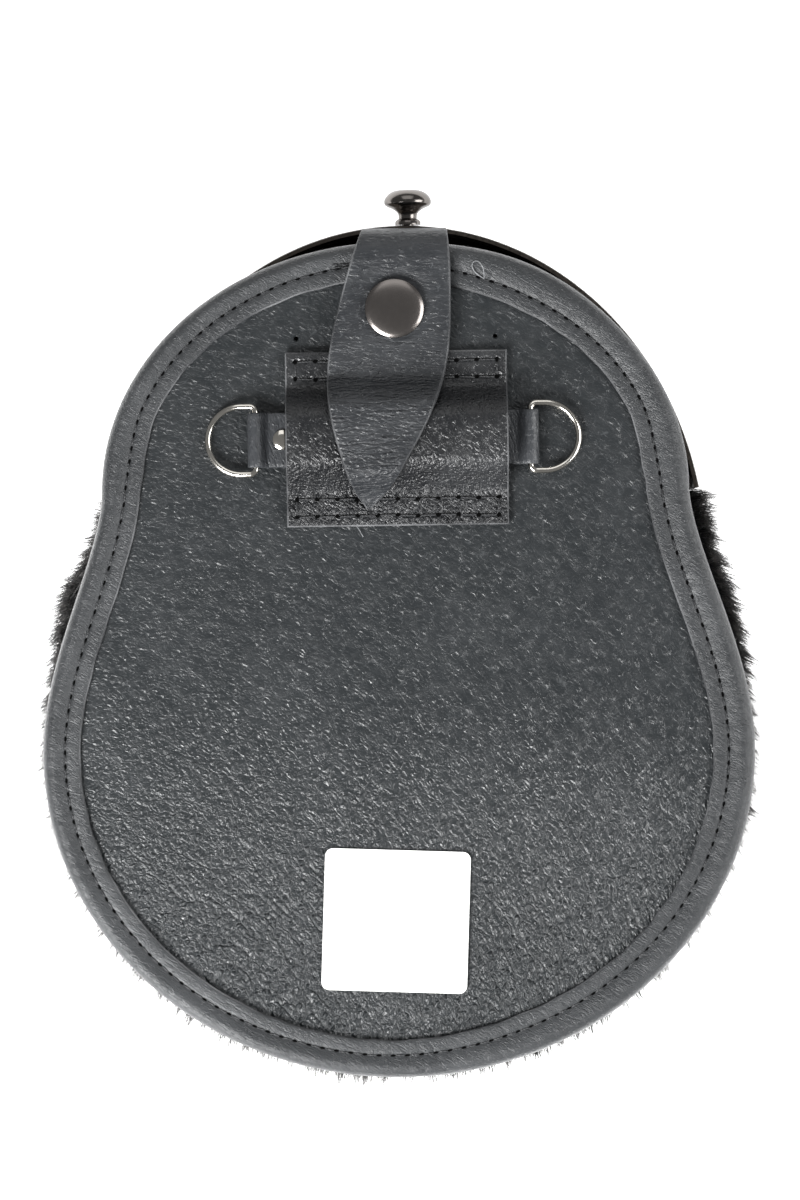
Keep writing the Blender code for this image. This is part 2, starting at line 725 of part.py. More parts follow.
def arch_side_drop():
    """How far the cantle's inner face falls away beside its top, within the strap's width."""
    reach = STRAP_HALF_WIDTH * STRAP_WIDTHS[0][1] + abs(STRAP_X - CANTLE_SHIFT)
    inner_half = CANTLE_HALF_WIDTH - CANTLE_METAL
    inner_rise = CANTLE_ARCH_RISE - CANTLE_METAL
    return inner_rise * (1.0 - circle_share(reach / inner_half))


def strap_inner_face():
    """Y of the face of the strap's inner end that looks into the pouch."""
    return CANTLE_TOP_Y - CANTLE_METAL - arch_side_drop() - GAP - STRAP_LEATHER


def loop_bump(y, margin=0.0):
    """Share of the belt loop's rise at this height, widened by a margin."""
    outside = abs(y - LOOP_Y) - LOOP_FLAT - margin
    return ease(1.0 - outside / (LOOP_SPAN / 2.0 - LOOP_FLAT))


def strap_path():
    """Rows of (y, z) of the strap's middle surface, from its inner end to its tip."""
    half = STRAP_LEATHER / 2.0
    inner_y = strap_inner_face() + half
    base = PANEL_TOP + STRAP_LIFT + half
    rows = [(inner_y, CANTLE_DEPTH - STRAP_INNER_LENGTH)]
    rows.append((inner_y, CANTLE_DEPTH - 0.5 * STRAP_INNER_LENGTH))
    rows.append((inner_y, CANTLE_DEPTH + 0.1 * STRAP_INNER_LENGTH))
    reach = STRAP_FOLD_RADIUS
    centre_y = STRAP_TOP_Y - half - reach
    centre_z = base + STRAP_FOLD_LIFT - reach
    for degrees in (-10.0, 15.0, 40.0, 65.0, 90.0):
        turn = math.radians(degrees)
        rows.append((centre_y + reach * math.cos(turn), centre_z + reach * math.sin(turn)))
    tip_y = STRAP_TOP_Y - STRAP_LENGTH
    over_loop = LOOP_RISE + LOOP_LEATHER + GAP - STRAP_LIFT
    for i in range(1, STRAP_ROWS + 1):
        y = mix(centre_y, tip_y, i / STRAP_ROWS)
        settle = STRAP_FOLD_LIFT * (1.0 - ease((centre_y - y) / STRAP_SETTLE_LENGTH))
        rows.append((y, base + settle + loop_bump(y, STRAP_SLACK) * over_loop))
    return rows


def build_closing_strap(material):
    """Pointed tongue: riveted inside the cantle, folded over the mouth and down the back."""
    path = strap_path()
    columns = 4

    def surface(across, along):
        y, z = path[round(along * (len(path) - 1))]
        down = (STRAP_TOP_Y - y) / STRAP_LENGTH if z > CANTLE_DEPTH else 0.0
        half_width = STRAP_HALF_WIDTH * table_value(STRAP_WIDTHS, down)
        middle = STRAP_X - STRAP_LEAN * max(0.0, down)
        return middle + (2.0 * across - 1.0) * half_width, y, z

    strap = sheet("closing_strap", surface, columns, len(path) - 1, STRAP_LEATHER, material)
    place = (KNOB_X, CANTLE_TOP_Y, KNOB_Z)
    drill(strap, place, KNOB_POST_RADIUS + GAP, 12.0 * STRAP_LEATHER, axis="Y", sides=10)
    place = (SNAP_X, TOP_Y - SNAP_BELOW_TOP, PANEL_TOP + STRAP_LIFT)
    drill(strap, place, SNAP_POST_RADIUS + GAP, 4.0 * STRAP_LEATHER, sides=10)
    return strap


def build_snap(metal):
    """Press stud: a domed cap and socket through the strap, and the stud on the panel."""
    cap_seat = STRAP_LIFT + STRAP_LEATHER + GAP
    socket_top = STRAP_LIFT - GAP
    socket_bottom = socket_top - SNAP_SOCKET_THICKNESS
    rows = [(0.0, cap_seat + SNAP_DOME)]
    for degrees in (22.0, 44.0, 62.0, 76.0):
        turn = math.radians(degrees)
        rows.append((SNAP_RADIUS * math.sin(turn), cap_seat + SNAP_DOME * (0.35 + 0.65 * math.cos(turn))))
    rows.append((SNAP_RADIUS, cap_seat + 0.25 * SNAP_DOME))
    rows.append((SNAP_RADIUS * 0.97, cap_seat))
    rows.append((SNAP_POST_RADIUS, cap_seat))
    rows.append((SNAP_POST_RADIUS, socket_top))
    rows.append((SNAP_SOCKET_RADIUS, socket_top))
    rows.append((SNAP_SOCKET_RADIUS, socket_bottom))
    rows.append((0.0, socket_bottom))
    cap = turned("snap_cap", rows, 24, metal)
    stud_top = GAP + SNAP_STUD_THICKNESS
    stud_rows = [(0.0, stud_top), (SNAP_SOCKET_RADIUS, stud_top), (SNAP_SOCKET_RADIUS, GAP), (0.0, GAP)]
    stud = turned("snap_stud", stud_rows, 16, metal)
    for piece in (cap, stud):
        piece.location = (SNAP_X, TOP_Y - SNAP_BELOW_TOP, PANEL_TOP)


# Belt loop, tabs and D-rings


def build_belt_loop(material):
    """Leather strip sewn above and below, arched between for a belt."""
    half = LOOP_LEATHER / 2.0

    def surface(across, along):
        x = LOOP_X + (across - 0.5) * LOOP_WIDTH
        y = LOOP_Y + (0.5 - along) * LOOP_HEIGHT
        return x, y, PANEL_TOP + GAP + half + loop_bump(y) * (LOOP_RISE - GAP)

    loop = sheet("belt_loop", surface, 2, LOOP_ROWS, LOOP_LEATHER, material)
    edges = loop.modifiers.new("cut edges", "BEVEL")
    edges.width = LOOP_EASED_EDGE
    edges.segments = 1
    edges.limit_method = "ANGLE"
    edges.angle_limit = math.radians(60.0)
    return loop


def outwards(side):
    """Sign of X for a side."""
    return -1.0 if side == "left" else 1.0


def tab_end_x(side):
    """X of the outer end of a tab."""
    return LOOP_X + outwards(side) * (LOOP_WIDTH / 2.0 + TAB_REACH[side])


def bar_x(side):
    """X of a D-ring's straight bar, in the fold of its tab."""
    return tab_end_x(side) - outwards(side) * (TAB_LEATHER + GAP + RING_WIRE_RADIUS)


def rivet_x(side):
    """X of the rivet through a tab."""
    return tab_end_x(side) - outwards(side) * RIVET_FROM_TAB_END[side]


def tab_path(side):
    """Rows of (x, z) of a tab's leather: in under the ring's bar, round it and back on top."""
    sign = outwards(side)
    half = TAB_LEATHER / 2.0
    low = PANEL_TOP + GAP + half
    high = low + TAB_LEATHER + GAP
    bend = RING_WIRE_RADIUS + GAP + half
    inner = LOOP_X + sign * (LOOP_WIDTH / 2.0 - TAB_UNDER_LOOP)
    bar = bar_x(side)
    rows = [(mix(inner, bar, i / 4.0), low) for i in range(4)]
    for i in range(9):
        turn = math.radians(-90.0 + 180.0 * i / 8.0)
        rows.append((bar + sign * bend * math.cos(turn), BAR_Z + bend * math.sin(turn)))
    for i in range(1, 7):
        back = i / 6.0
        z = mix(BAR_Z + bend, high, ease(back))
        rows.append((bar - sign * TAB_PINCH * back, z))
    pinch_x = bar - sign * TAB_PINCH
    rows += [(mix(pinch_x, inner + sign * GAP, i / 3.0), high) for i in range(1, 4)]
    return rows


def build_tab(side, material):
    """Folded leather tab that holds a D-ring."""
    path = tab_path(side)

    def surface(across, along):
        x, z = path[round(along * (len(path) - 1))]
        return x, LOOP_Y + (across - 0.5) * TAB_HEIGHT, z

    tab = sheet(f"d_ring_tab_{side}", surface, 2, len(path) - 1, TAB_LEATHER, material)
    place = (rivet_x(side), LOOP_Y, PANEL_TOP)
    drill(tab, place, RIVET_POST_RADIUS + GAP, 8.0 * TAB_LEATHER, sides=8)
    return tab


def build_rivet(side, metal):
    """Rivet through the tab and the panel, with a plain burr inside the pouch."""
    seat = TAB_TOP - PANEL_TOP + GAP
    burr = -PANEL_THICKNESS - GAP
    rows = [(0.0, seat + RIVET_HEAD_HEIGHT)]
    rows.append((0.6 * RIVET_HEAD_RADIUS, seat + 0.85 * RIVET_HEAD_HEIGHT))
    rows.append((RIVET_HEAD_RADIUS, seat + 0.25 * RIVET_HEAD_HEIGHT))
    rows.append((RIVET_HEAD_RADIUS, seat))
    rows.append((RIVET_POST_RADIUS, seat))
    rows.append((RIVET_POST_RADIUS, burr))
    rows.append((0.8 * RIVET_HEAD_RADIUS, burr))
    rows.append((0.8 * RIVET_HEAD_RADIUS, burr - RIVET_HEAD_HEIGHT))
    rows.append((0.0, burr - RIVET_HEAD_HEIGHT))
    rivet = turned(f"tab_rivet_{side}", rows, 12, metal)
    rivet.location = (rivet_x(side), LOOP_Y, PANEL_TOP)


def ring_outline():
    """Middle line of a D-ring's wire: a straight bar at x = 0, two legs and a round end."""
    half = RING_HEIGHT / 2.0 - RING_WIRE_RADIUS
    length = RING_LENGTH - RING_WIRE_RADIUS
    corner = RING_CORNER
    points = []
    for centre_y, first in ((-(half - corner), 180.0), (half - corner, 90.0)):
        arc = []
        for i in range(4):
            turn = math.radians(first + 90.0 * i / 3.0)
            arc.append((corner + corner * math.cos(turn), centre_y + corner * math.sin(turn)))
        points.append(arc)
    bottom, top = points
    round_x = length - half
    end = []
    for i in range(13):
        turn = math.radians(-90.0 + 180.0 * i / 12.0)
        end.append((round_x + half * math.cos(turn), half * math.sin(turn)))
    return bottom + end + top


def build_ring(side, metal):
    """D-ring that hinges on its bar and lies tilted until its far end meets the panel."""
    sign = outwards(side)
    data = bpy.data.curves.new(f"d_ring_{side}", "CURVE")
    data.dimensions = "3D"
    data.bevel_depth = RING_WIRE_RADIUS
    data.bevel_resolution = 1
    spline = data.splines.new("POLY")
    outline = ring_outline()
    spline.points.add(len(outline) - 1)
    for point, (x, y) in zip(spline.points, outline):
        point.co = (sign * x, y, 0.0, 1.0)
    spline.use_cyclic_u = True
    ring = add_part(f"d_ring_{side}", data, metal)
    drop = BAR_Z - PANEL_TOP - GAP - RING_WIRE_RADIUS
    ring.location = (bar_x(side), LOOP_Y, BAR_Z)
    ring.rotation_euler.y = sign * math.asin(drop / (RING_LENGTH - RING_WIRE_RADIUS))
    return ring


def build_label(material):
    """Blank sticker with rounded corners."""
    half_x, half_y = LABEL_SIZE[0] / 2.0 - LABEL_CORNER, LABEL_SIZE[1] / 2.0 - LABEL_CORNER
    outline = []
    for quarter, (sx, sy) in enumerate(((1, 1), (-1, 1), (-1, -1), (1, -1))):
        for i in range(5):
            turn = math.radians(90.0 * quarter + 90.0 * i / 4.0)
            x = sx * half_x + LABEL_CORNER * math.cos(turn)
            y = sy * half_y + LABEL_CORNER * math.sin(turn)
            outline.append((x, y))
    bottom = PANEL_TOP + GAP
    label = plate("label", outline, bottom, bottom + LABEL_THICKNESS, material)
    place = Vector((LABEL_X, BOTTOM_Y + LABEL_ABOVE_BOTTOM, label.location.z))
    label.matrix_world = Matrix.Translation(place) @ Matrix.Rotation(LABEL_TURN, 4, "Z")
    return label


clear_scene()
PARTS = new_collection(OBJECT_NAME)
GUIDES = new_collection(f"{OBJECT_NAME}_cutters")


def main():
    """Build every piece of the pouch."""
    grained = finish("grained leather", (0.055, 0.057, 0.060), 0.55)
    smooth = finish("smooth leather", (0.075, 0.076, 0.079), 0.5)
    fur = finish("black fur", (0.012, 0.012, 0.012), 0.7)
    gunmetal = finish("gunmetal", (0.06, 0.055, 0.052), 0.3, 1.0)
    nickel = finish("nickel", (0.55, 0.53, 0.50), 0.25, 1.0)
    paper = finish("white paper", (0.92, 0.92, 0.91), 0.5)

    build_back_panel(grained)
    build_edge_binding(smooth)
    build_gusset(smooth)
    build_fur_front(fur)
    build_cantle(gunmetal)
    build_knob(gunmetal)
    build_closing_strap(smooth)
    build_snap(gunmetal)
    build_belt_loop(grained)
    for side in ("left", "right"):
        build_tab(side, smooth)
        build_ring(side, nickel)
        build_rivet(side, nickel)
    build_label(paper)


main()
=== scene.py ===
"""Looks of the sporran pouch: leather back, fur front and metal cantle, lying on its front.

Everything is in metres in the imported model's frame: the floor is z = 0, +Z comes out of
the leather back, +Y points at the knob and +X is right as the back is seen.
"""

import logging
import math
from dataclasses import dataclass, field
from enum import Enum
from typing import Sequence

import bmesh
import bpy
import numpy as np
from mathutils import Matrix, Vector

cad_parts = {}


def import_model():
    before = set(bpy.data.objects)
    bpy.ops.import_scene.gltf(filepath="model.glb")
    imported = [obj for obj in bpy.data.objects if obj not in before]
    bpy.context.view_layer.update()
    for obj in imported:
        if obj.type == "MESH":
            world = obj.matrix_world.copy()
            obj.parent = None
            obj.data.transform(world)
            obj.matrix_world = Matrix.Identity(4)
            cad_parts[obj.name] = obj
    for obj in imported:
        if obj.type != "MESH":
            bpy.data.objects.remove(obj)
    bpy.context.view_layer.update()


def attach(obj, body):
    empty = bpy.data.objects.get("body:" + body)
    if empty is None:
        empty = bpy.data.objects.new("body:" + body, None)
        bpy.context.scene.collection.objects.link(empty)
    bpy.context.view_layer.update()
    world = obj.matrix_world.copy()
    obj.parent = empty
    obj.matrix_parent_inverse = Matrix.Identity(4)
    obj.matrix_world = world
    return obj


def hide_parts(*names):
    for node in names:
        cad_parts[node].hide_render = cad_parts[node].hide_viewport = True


LOG = logging.getLogger("sporran")

MM = 0.001
TINY = 1e-12  # keeps a way without length from dividing by zero
SEAT = 0.3 * MM  # clearance that the frame keeps between touching pieces
PHOTO_SCALE = 0.254 * MM  # real length of one pixel of the 800 x 1200 frame, at the panel
PHOTO_HEIGHT = 1200

Array = np.ndarray
Section = Sequence[tuple[float, float]]


class Side(Enum):
    """Side of the pouch as its back is seen; the value is the sign of X."""

    LEFT = -1.0
    RIGHT = 1.0

    @property
    def word(self) -> str:
        """Lower-case name of the side."""
        return self.name.lower()


class Body(Enum):
    """Rigid bodies that the pieces ride on."""

    POUCH = "pouch"
    RING_LEFT = "d_ring_left"
    RING_RIGHT = "d_ring_right"


class Slot(Enum):
    """Material slots."""

    GRAINED = "grained_leather"
    SMOOTH = "smooth_leather"
    FUR = "black_fur"
    GUNMETAL = "gunmetal"
    NICKEL = "nickel"
    PAPER = "white_paper"


# Numbers and curves


def mix(a: float | Array, b: float | Array, share: float | Array) -> float | Array:
    """Value between a and b."""
    return a + (b - a) * share


def ease(share: float | Array) -> float | Array:
    """Smooth step from 0 to 1."""
    held = np.clip(share, 0.0, 1.0)
    return held * held * (3.0 - 2.0 * held)


def bell(share: float | Array) -> float | Array:
    """Smooth hump of height 1 at 0 that ends at -1 and 1."""
    return 1.0 - ease(np.abs(share))


def table_curve(table: Section, share: float | Array) -> float | Array:
    """Smooth value from rows of (share, value).

    Args:
        table: Rows in rising order of share.
        share: Where to read it, one number or many.

    Returns:
        The value or values there, held at the ends.
    """
    shares = np.array([row[0] for row in table])
    values = np.array([row[1] for row in table])
    slopes = np.gradient(values, shares)
    at = np.clip(share, shares[0], shares[-1])
    i = np.clip(np.searchsorted(shares, at) - 1, 0, len(shares) - 2)
    step = shares[i + 1] - shares[i]
    t = (at - shares[i]) / step
    rise = values[i + 1] - values[i]
    start, end = slopes[i] * step, slopes[i + 1] * step
    curve = (start + end - 2.0 * rise) * t**3 + (3.0 * rise - 2.0 * start - end) * t * t
    return values[i] + start * t + curve


def ripple(along: float | Array, length: float, seed: int, waves: int = 5) -> float | Array:
    """Smooth noise along a line, between about -1 and 1.

    Args:
        along: Distance or distances along the line.
        length: Typical length of one wave.
        seed: Which noise it is.
        waves: How many sines are added.

    Returns:
        The noise there.
    """
    draw = np.random.default_rng(seed)
    total = 0.0 * np.asarray(along)
    for _ in range(waves):
        wave = length * draw.uniform(0.55, 1.8)
        total = total + np.sin(2.0 * math.pi * (along / wave + draw.uniform()))
    return total / math.sqrt(waves) / 1.4


def unit(ways: Array) -> Array:
    """Directions of length 1, from ways along the last axis."""
    return ways / np.maximum(np.linalg.norm(ways, axis=-1, keepdims=True), TINY)


def crossways(ways: Array) -> Array:
    """Flat directions of length 1, a quarter turn to the left of flat ways."""
    ahead = unit(ways)
    return np.stack([-ahead[..., 1], ahead[..., 0]], -1)


# Blender helpers


def linear(hexa: str) -> tuple[float, float, float, float]:
    """Linear RGBA of an sRGB colour such as #4F5153."""
    channels = [int(hexa[i : i + 2], 16) / 255.0 for i in (1, 3, 5)]
    values = [c / 12.92 if c <= 0.04045 else ((c + 0.055) / 1.055) ** 2.4 for c in channels]
    return values[0], values[1], values[2], 1.0


def add_node(
    tree: bpy.types.NodeTree, kind: str, links: dict | None = None, **settings: object
) -> bpy.types.Node:
    """Add a node with its settings, values and links.

    Args:
        tree: Node tree that gets it.
        kind: Blender's type name, without the word ShaderNode.
        links: Input name or number to a value, or to the socket that feeds it.
        **settings: Attributes of the node itself.

    Returns:
        The new node.
    """
    node = tree.nodes.new(f"ShaderNode{kind}")
    for name, value in settings.items():
        setattr(node, name, value)
    for name, value in (links or {}).items():
        if isinstance(value, bpy.types.NodeSocket):
            tree.links.new(value, node.inputs[name])
        else:
            node.inputs[name].default_value = value
    return node


def new_material(name: str) -> tuple[bpy.types.Material, bpy.types.NodeTree, bpy.types.Node]:
    """An empty material, its tree and its Principled BSDF."""
    made = bpy.data.materials.new(name)
    made.use_nodes = True
    return made, made.node_tree, made.node_tree.nodes["Principled BSDF"]


def add_piece(
    name: str,
    mesh: bpy.types.Mesh,
    material: bpy.types.Material,
    body: Body = Body.POUCH,
    replaced: Sequence[str] = (),
    sharp: float = 40.0,
    cut: bpy.types.Material | None = None,
) -> bpy.types.Object:
    """Link a mesh as a piece, dress it and let it ride.

    Args:
        name: Plain name of the piece.
        mesh: Its mesh, in the row frame.
        material: Its finish.
        body: The body that it rides on.
        replaced: Solids that it stands for.
        sharp: Angle in degrees above which an edge stays sharp.
        cut: Finish of the faces that mark_faces has marked.

    Returns:
        The new object.
    """
    mesh.name = name
    marks = [face.material_index for face in mesh.polygons]
    mesh.materials.clear()
    mesh.materials.append(material)
    if cut:
        mesh.materials.append(cut)
        mesh.polygons.foreach_set("material_index", marks)
    mesh.shade_smooth()
    mesh.set_sharp_from_angle(angle=math.radians(sharp))
    piece = bpy.data.objects.new(name, mesh)
    bpy.context.scene.collection.objects.link(piece)
    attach(piece, body.value)
    if replaced:
        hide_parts(*replaced)
    LOG.info("%s: %d faces", name, len(mesh.polygons))
    return piece


def mesh_of(vertices: Array | list, faces: Sequence[Sequence[int]]) -> bpy.types.Mesh:
    """A mesh whose faces all look outwards."""
    mesh = bpy.data.meshes.new("mesh")
    mesh.from_pydata([tuple(v) for v in vertices], [], [tuple(f) for f in faces])
    work = bmesh.new()
    work.from_mesh(mesh)
    bmesh.ops.recalc_face_normals(work, faces=work.faces)
    work.to_mesh(mesh)
    work.free()
    return mesh


def loft(rings: Array, closed: bool = False, capped: bool = True) -> bpy.types.Mesh:
    """A skin over rings of points.

    Args:
        rings: Array of rings x points x 3; each ring is a closed loop.
        closed: Whether the last ring joins the first.
        capped: Whether an open loft gets a face on each end.

    Returns:
        The mesh.
    """
    count, size = rings.shape[:2]
    faces = []
    for j in range(count if closed else count - 1):
        k = (j + 1) % count
        for i in range(size):
            n = (i + 1) % size
            faces.append((j * size + i, j * size + n, k * size + n, k * size + i))
    if capped and not closed:
        faces.append(range(size))
        faces.append(range((count - 1) * size, count * size))
    return mesh_of(rings.reshape(-1, 3), faces)


def mark_faces(mesh: bpy.types.Mesh, size: int, columns: Sequence[int], rows: Sequence[int] = ()) -> None:
    """Mark some columns and rows of a loft's faces, for the finish of a cut edge.

    Args:
        mesh: The loft.
        size: Points in each of its rings.
        columns: Columns of faces that are marked.
        rows: Rows of faces that are marked.
    """
    for face in mesh.polygons:
        row, column = divmod(face.index, size)
        face.material_index = int(column in columns or row in rows)


def grid_wall(outer: Array, inner: Array) -> bpy.types.Mesh:
    """A closed wall between two grids of rows x columns x 3."""
    rows, columns = outer.shape[:2]
    count = rows * columns
    faces = []
    for r in range(rows - 1):
        for c in range(columns - 1):
            a = r * columns + c
            quad = (a, a + 1, a + columns + 1, a + columns)
            faces.append(quad)
            faces.append([count + i for i in reversed(quad)])
    ring = list(range(columns - 1))
    ring += [r * columns + columns - 1 for r in range(rows - 1)]
    ring += [(rows - 1) * columns + c for c in range(columns - 1, 0, -1)]
    ring += [r * columns for r in range(rows - 1, 0, -1)]
    for here, there in zip(ring, ring[1:] + ring[:1]):
        faces.append((there, here, here + count, there + count))
    return mesh_of(np.concatenate([outer.reshape(-1, 3), inner.reshape(-1, 3)]), faces)


def turned(profile: Section, steps: int, place: Vector, turn: Matrix | None = None) -> bpy.types.Mesh:
    """A turned solid from (radius, height) rows, top to bottom; end rows may have no radius."""
    angles = np.linspace(0.0, 2.0 * math.pi, steps, endpoint=False)
    vertices, faces, previous = [], [], []
    for radius, height in profile:
        first = len(vertices)
        if radius <= 0.0:
            vertices.append(Vector((0.0, 0.0, height)))
            ring = [first] * steps
        else:
            vertices += [Vector((radius * math.cos(a), radius * math.sin(a), height)) for a in angles]
            ring = list(range(first, first + steps))
        for i in range(steps) if previous else ():
            n = (i + 1) % steps
            face = dict.fromkeys((previous[i], previous[n], ring[n], ring[i]))
            faces.append(tuple(face))
        previous = ring
    spin = turn or Matrix.Identity(3)
    return mesh_of([place + spin @ v for v in vertices], faces)


def joined(meshes: Sequence[bpy.types.Mesh]) -> bpy.types.Mesh:
    """One mesh from several."""
    work = bmesh.new()
    for mesh in meshes:
        work.from_mesh(mesh)
    made = bpy.data.meshes.new("joined")
    work.to_mesh(made)
    work.free()
    return made


def tube_rings(path: Array, radius: float | Array, sides: int = 8) -> Array:
    """Rings of a round tube along a path, with the same twist all the way.

    Args:
        path: Points x 3.
        radius: One radius, or one for each point.
        sides: Sides of the tube.

    Returns:
        Array of rings x sides x 3.
    """
    ahead = np.gradient(path, axis=0)
    ahead = unit(ahead)
    side = np.cross(ahead, (0.0, 0.0, 1.0))
    flat = np.linalg.norm(side, axis=1, keepdims=True) < 0.05
    side = np.where(flat, np.cross(ahead, (0.0, 1.0, 0.0)), side)
    side = unit(side)
    up = np.cross(side, ahead)
    angles = np.linspace(0.0, 2.0 * math.pi, sides, endpoint=False)
    size = np.broadcast_to(radius, (len(path),))[:, None, None]
    spread = np.cos(angles)[None, :, None] * side[:, None] + np.sin(angles)[None, :, None] * up[:, None]
    return path[:, None] + size * spread


def thread_stitch(start: Array, end: Array, radius: float, rise: float) -> bpy.types.Mesh:
    """One stitch that comes out of one hole, lies on the leather and goes into the next."""
    shares = np.array([0.0, 0.08, 0.22, 0.5, 0.78, 0.92, 1.0])
    lifts = np.array([-1.0, 0.1, 0.75, 1.0, 0.75, 0.1, -1.0]) * rise
    path = start + (end - start) * shares[:, None]
    path = path + np.array([0.0, 0.0, 1.0]) * lifts[:, None]
    return loft(tube_rings(path, radius, 6))


def hole_shadow_pit(place: Array, ahead: Array, half_length: float, half_width: float) -> bpy.types.Mesh:
    """A small pit, long along the seam, whose rim lies just over the leather; its near-black finish is painted
    shadow.
    """
    side = np.array([-ahead[1], ahead[0], 0.0])
    turn = np.linspace(0.0, 2.0 * math.pi, 10, endpoint=False)[:, None]
    rim = ahead * np.cos(turn) * half_length + side * np.sin(turn) * half_width
    down = np.array([0.0, 0.0, 0.5 * MM])
    return loft(np.array([place + rim * 0.5 - down, place + rim]))


def add_seam(
    name: str, slits: Array, closed: bool, radius: float, hole: tuple[float, float], finishes: "Finishes"
) -> None:
    """Add a row of stitches: a dark pit at each place, the painted shadow of its needle hole, and a thread from
    each to the next.

    Args:
        name: Start of the pieces' names.
        slits: Places x 3 at the leather's surface.
        closed: Whether the last stitch goes on to the first.
        radius: Radius of the thread.
        hole: Half the length and half the width of a slit.
        finishes: Finishes of the thread and of the dark pits, which are painted shadow.
    """
    ends = np.roll(slits, -1, 0) if closed else np.concatenate([slits[1:], slits[-1:]])
    draw = np.random.default_rng(len(slits))
    threads, hole_shadow_pits = [], []
    for start, end in zip(slits, ends):
        way = end - start
        length = float(np.linalg.norm(way))
        ahead = way / length if length else np.array([1.0, 0.0, 0.0])
        # painted shadow: a near-black pit stands for the shade inside each needle hole
        hole_shadow_pits.append(hole_shadow_pit(start + [0.0, 0.0, 0.28 * MM], ahead, *hole))
        if length:
            side = np.array([-ahead[1], ahead[0], 0.0]) * draw.normal(0.0, 0.07 * MM)
            lift = np.array([0.0, 0.0, 0.12 * MM])
            inset = ahead * hole[0]
            threads.append(thread_stitch(start + inset + lift + side, end - inset + lift, radius, 0.2 * MM))
    add_piece(f"{name}_threads", joined(threads), finishes.thread)
    add_piece(f"{name}_slits", joined(hole_shadow_pits), finishes.hole)


# Finishes


